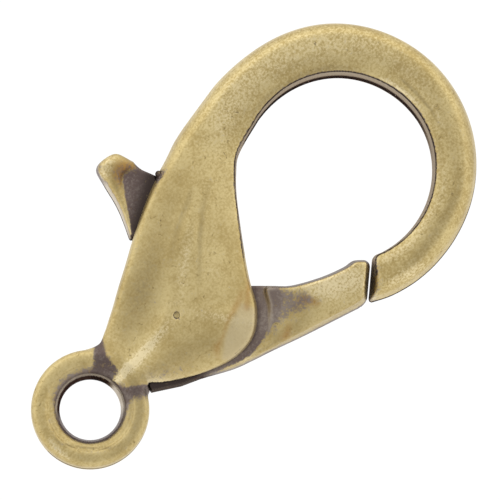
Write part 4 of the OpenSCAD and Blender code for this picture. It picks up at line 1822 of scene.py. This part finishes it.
@dataclass
class Studio:
    """A white light tent over a white floor, and a camera almost square above the clasp."""

    floor_z: float
    centre: tuple[float, float] = (14.43, 0.30)
    width: float = 31.89
    distance: float = 480.0
    image_turn: float = 44.0
    lean_down: float = 5.4
    lean_left: float = 1.5
    top: float = 0.72
    sides: float = 1.2
    upper_bias: float = 0.22
    dim_within: float = 0.97
    full_from: float = 0.55
    floor_half: float = 400.0
    floor_glow: float = 1.05

    def directions(self) -> tuple[Vector, Vector]:
        """The image's directions in the clasp's frame.

        Returns:
            Right and up.
        """
        turn = math.radians(self.image_turn)
        return Vector((math.cos(turn), -math.sin(turn), 0)), Vector((math.sin(turn), math.cos(turn), 0))

    def camera(self) -> None:
        """Sets the camera above the clasp, leaning towards the image's lower edge."""
        right, up = self.directions()
        toward = (Vector((0, 0, 1)) - up * math.tan(math.radians(self.lean_down))
                  - right * math.tan(math.radians(self.lean_left))).normalized()
        data = bpy.data.cameras.new("camera")
        data.sensor_width = 36.0
        data.lens = data.sensor_width * self.distance / self.width
        data.clip_start, data.clip_end = 0.01, 10.0
        camera = bpy.data.objects.new("camera", data)
        bpy.context.scene.collection.objects.link(camera)
        x = up.cross(toward).normalized()
        y = toward.cross(x)
        turned = Matrix((x, y, toward)).transposed().to_4x4()
        spot = Vector((*self.centre, 0)) + toward * self.distance
        camera.matrix_world = Matrix.Translation(spot * MM) @ turned
        bpy.context.scene.camera = camera

    def floor(self) -> None:
        """Lays the pale floor, lit from below as on a light table."""
        material = new_material("white_floor")
        tree = material.node_tree
        glow = add_node(tree, "ShaderNodeEmission", {"Color": (1, 1, 1, 1), "Strength": self.floor_glow})
        add_node(tree, "ShaderNodeOutputMaterial", {"Surface": glow.outputs[0]})
        mesh = bpy.data.meshes.new("floor")
        half = self.floor_half
        corners = [(-half, -half), (half, -half), (half, half), (-half, half)]
        mesh.from_pydata([(a * MM, b * MM, self.floor_z * MM) for a, b in corners], [], [(0, 1, 2, 3)])
        plate = bpy.data.objects.new("floor", mesh)
        plate.data.materials.append(material)
        bpy.context.scene.collection.objects.link(plate)

    def lights(self) -> None:
        """Lights the tent: its white sides glow, its top is dimmer round the lens.

        Formula: brightness is dim straight above and rises by a smooth step of the cosine from the
        vertical to full at the tent's sides, and grows by a share of how far the direction points up
        the image.
        """
        world = bpy.data.worlds.new("tent")
        bpy.context.scene.world = world
        world.use_nodes = True
        tree = world.node_tree
        tree.nodes.clear()
        _, up = self.directions()
        way = add_node(tree, "ShaderNodeTexCoord").outputs["Generated"]
        height = add_node(tree, "ShaderNodeVectorMath", {0: way, 1: (0, 0, 1)}, operation="DOT_PRODUCT")
        ahead = add_node(tree, "ShaderNodeVectorMath", {0: way, 1: tuple(up)}, operation="DOT_PRODUCT")
        side = add_node(tree, "ShaderNodeMapRange", {
            0: height.outputs["Value"], 1: self.dim_within, 2: self.full_from, 3: self.top,
            4: self.sides}, **SMOOTH)
        bias = add_node(tree, "ShaderNodeMath", {
            0: ahead.outputs["Value"], 1: self.upper_bias, 2: 1.0}, operation="MULTIPLY_ADD")
        glow = add_node(tree, "ShaderNodeMath", {0: side.outputs[0], 1: bias.outputs[0]},
                        operation="MULTIPLY")
        sky = add_node(tree, "ShaderNodeBackground", {"Color": (1, 1, 1, 1), "Strength": glow.outputs[0]})
        add_node(tree, "ShaderNodeOutputWorld", {"Surface": sky.outputs[0]})


def main() -> None:
    """Builds the clasp's pieces in order, then the studio."""
    logging.basicConfig(level=logging.INFO, format="%(name)s: %(message)s")
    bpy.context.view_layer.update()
    sizes = Sizes()
    brass = AntiqueBrass().build()
    steel = SpringSteel().build()
    body = CastBody(sizes, brass)
    body.build()
    SprungLever(sizes, brass, *body.end_corners()).build()
    PivotPin(sizes, brass, body.height_at(*sizes.pivot) - body.over_pin).build()
    CoilSpring(SpringPlace(sizes), steel).build()
    studio = Studio(floor_z=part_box("body")[0].z / MM - 0.01)
    studio.camera()
    studio.floor()
    studio.lights()
    bpy.context.scene.view_settings.view_transform = "Standard"


if __name__ == "__main__":
    main()
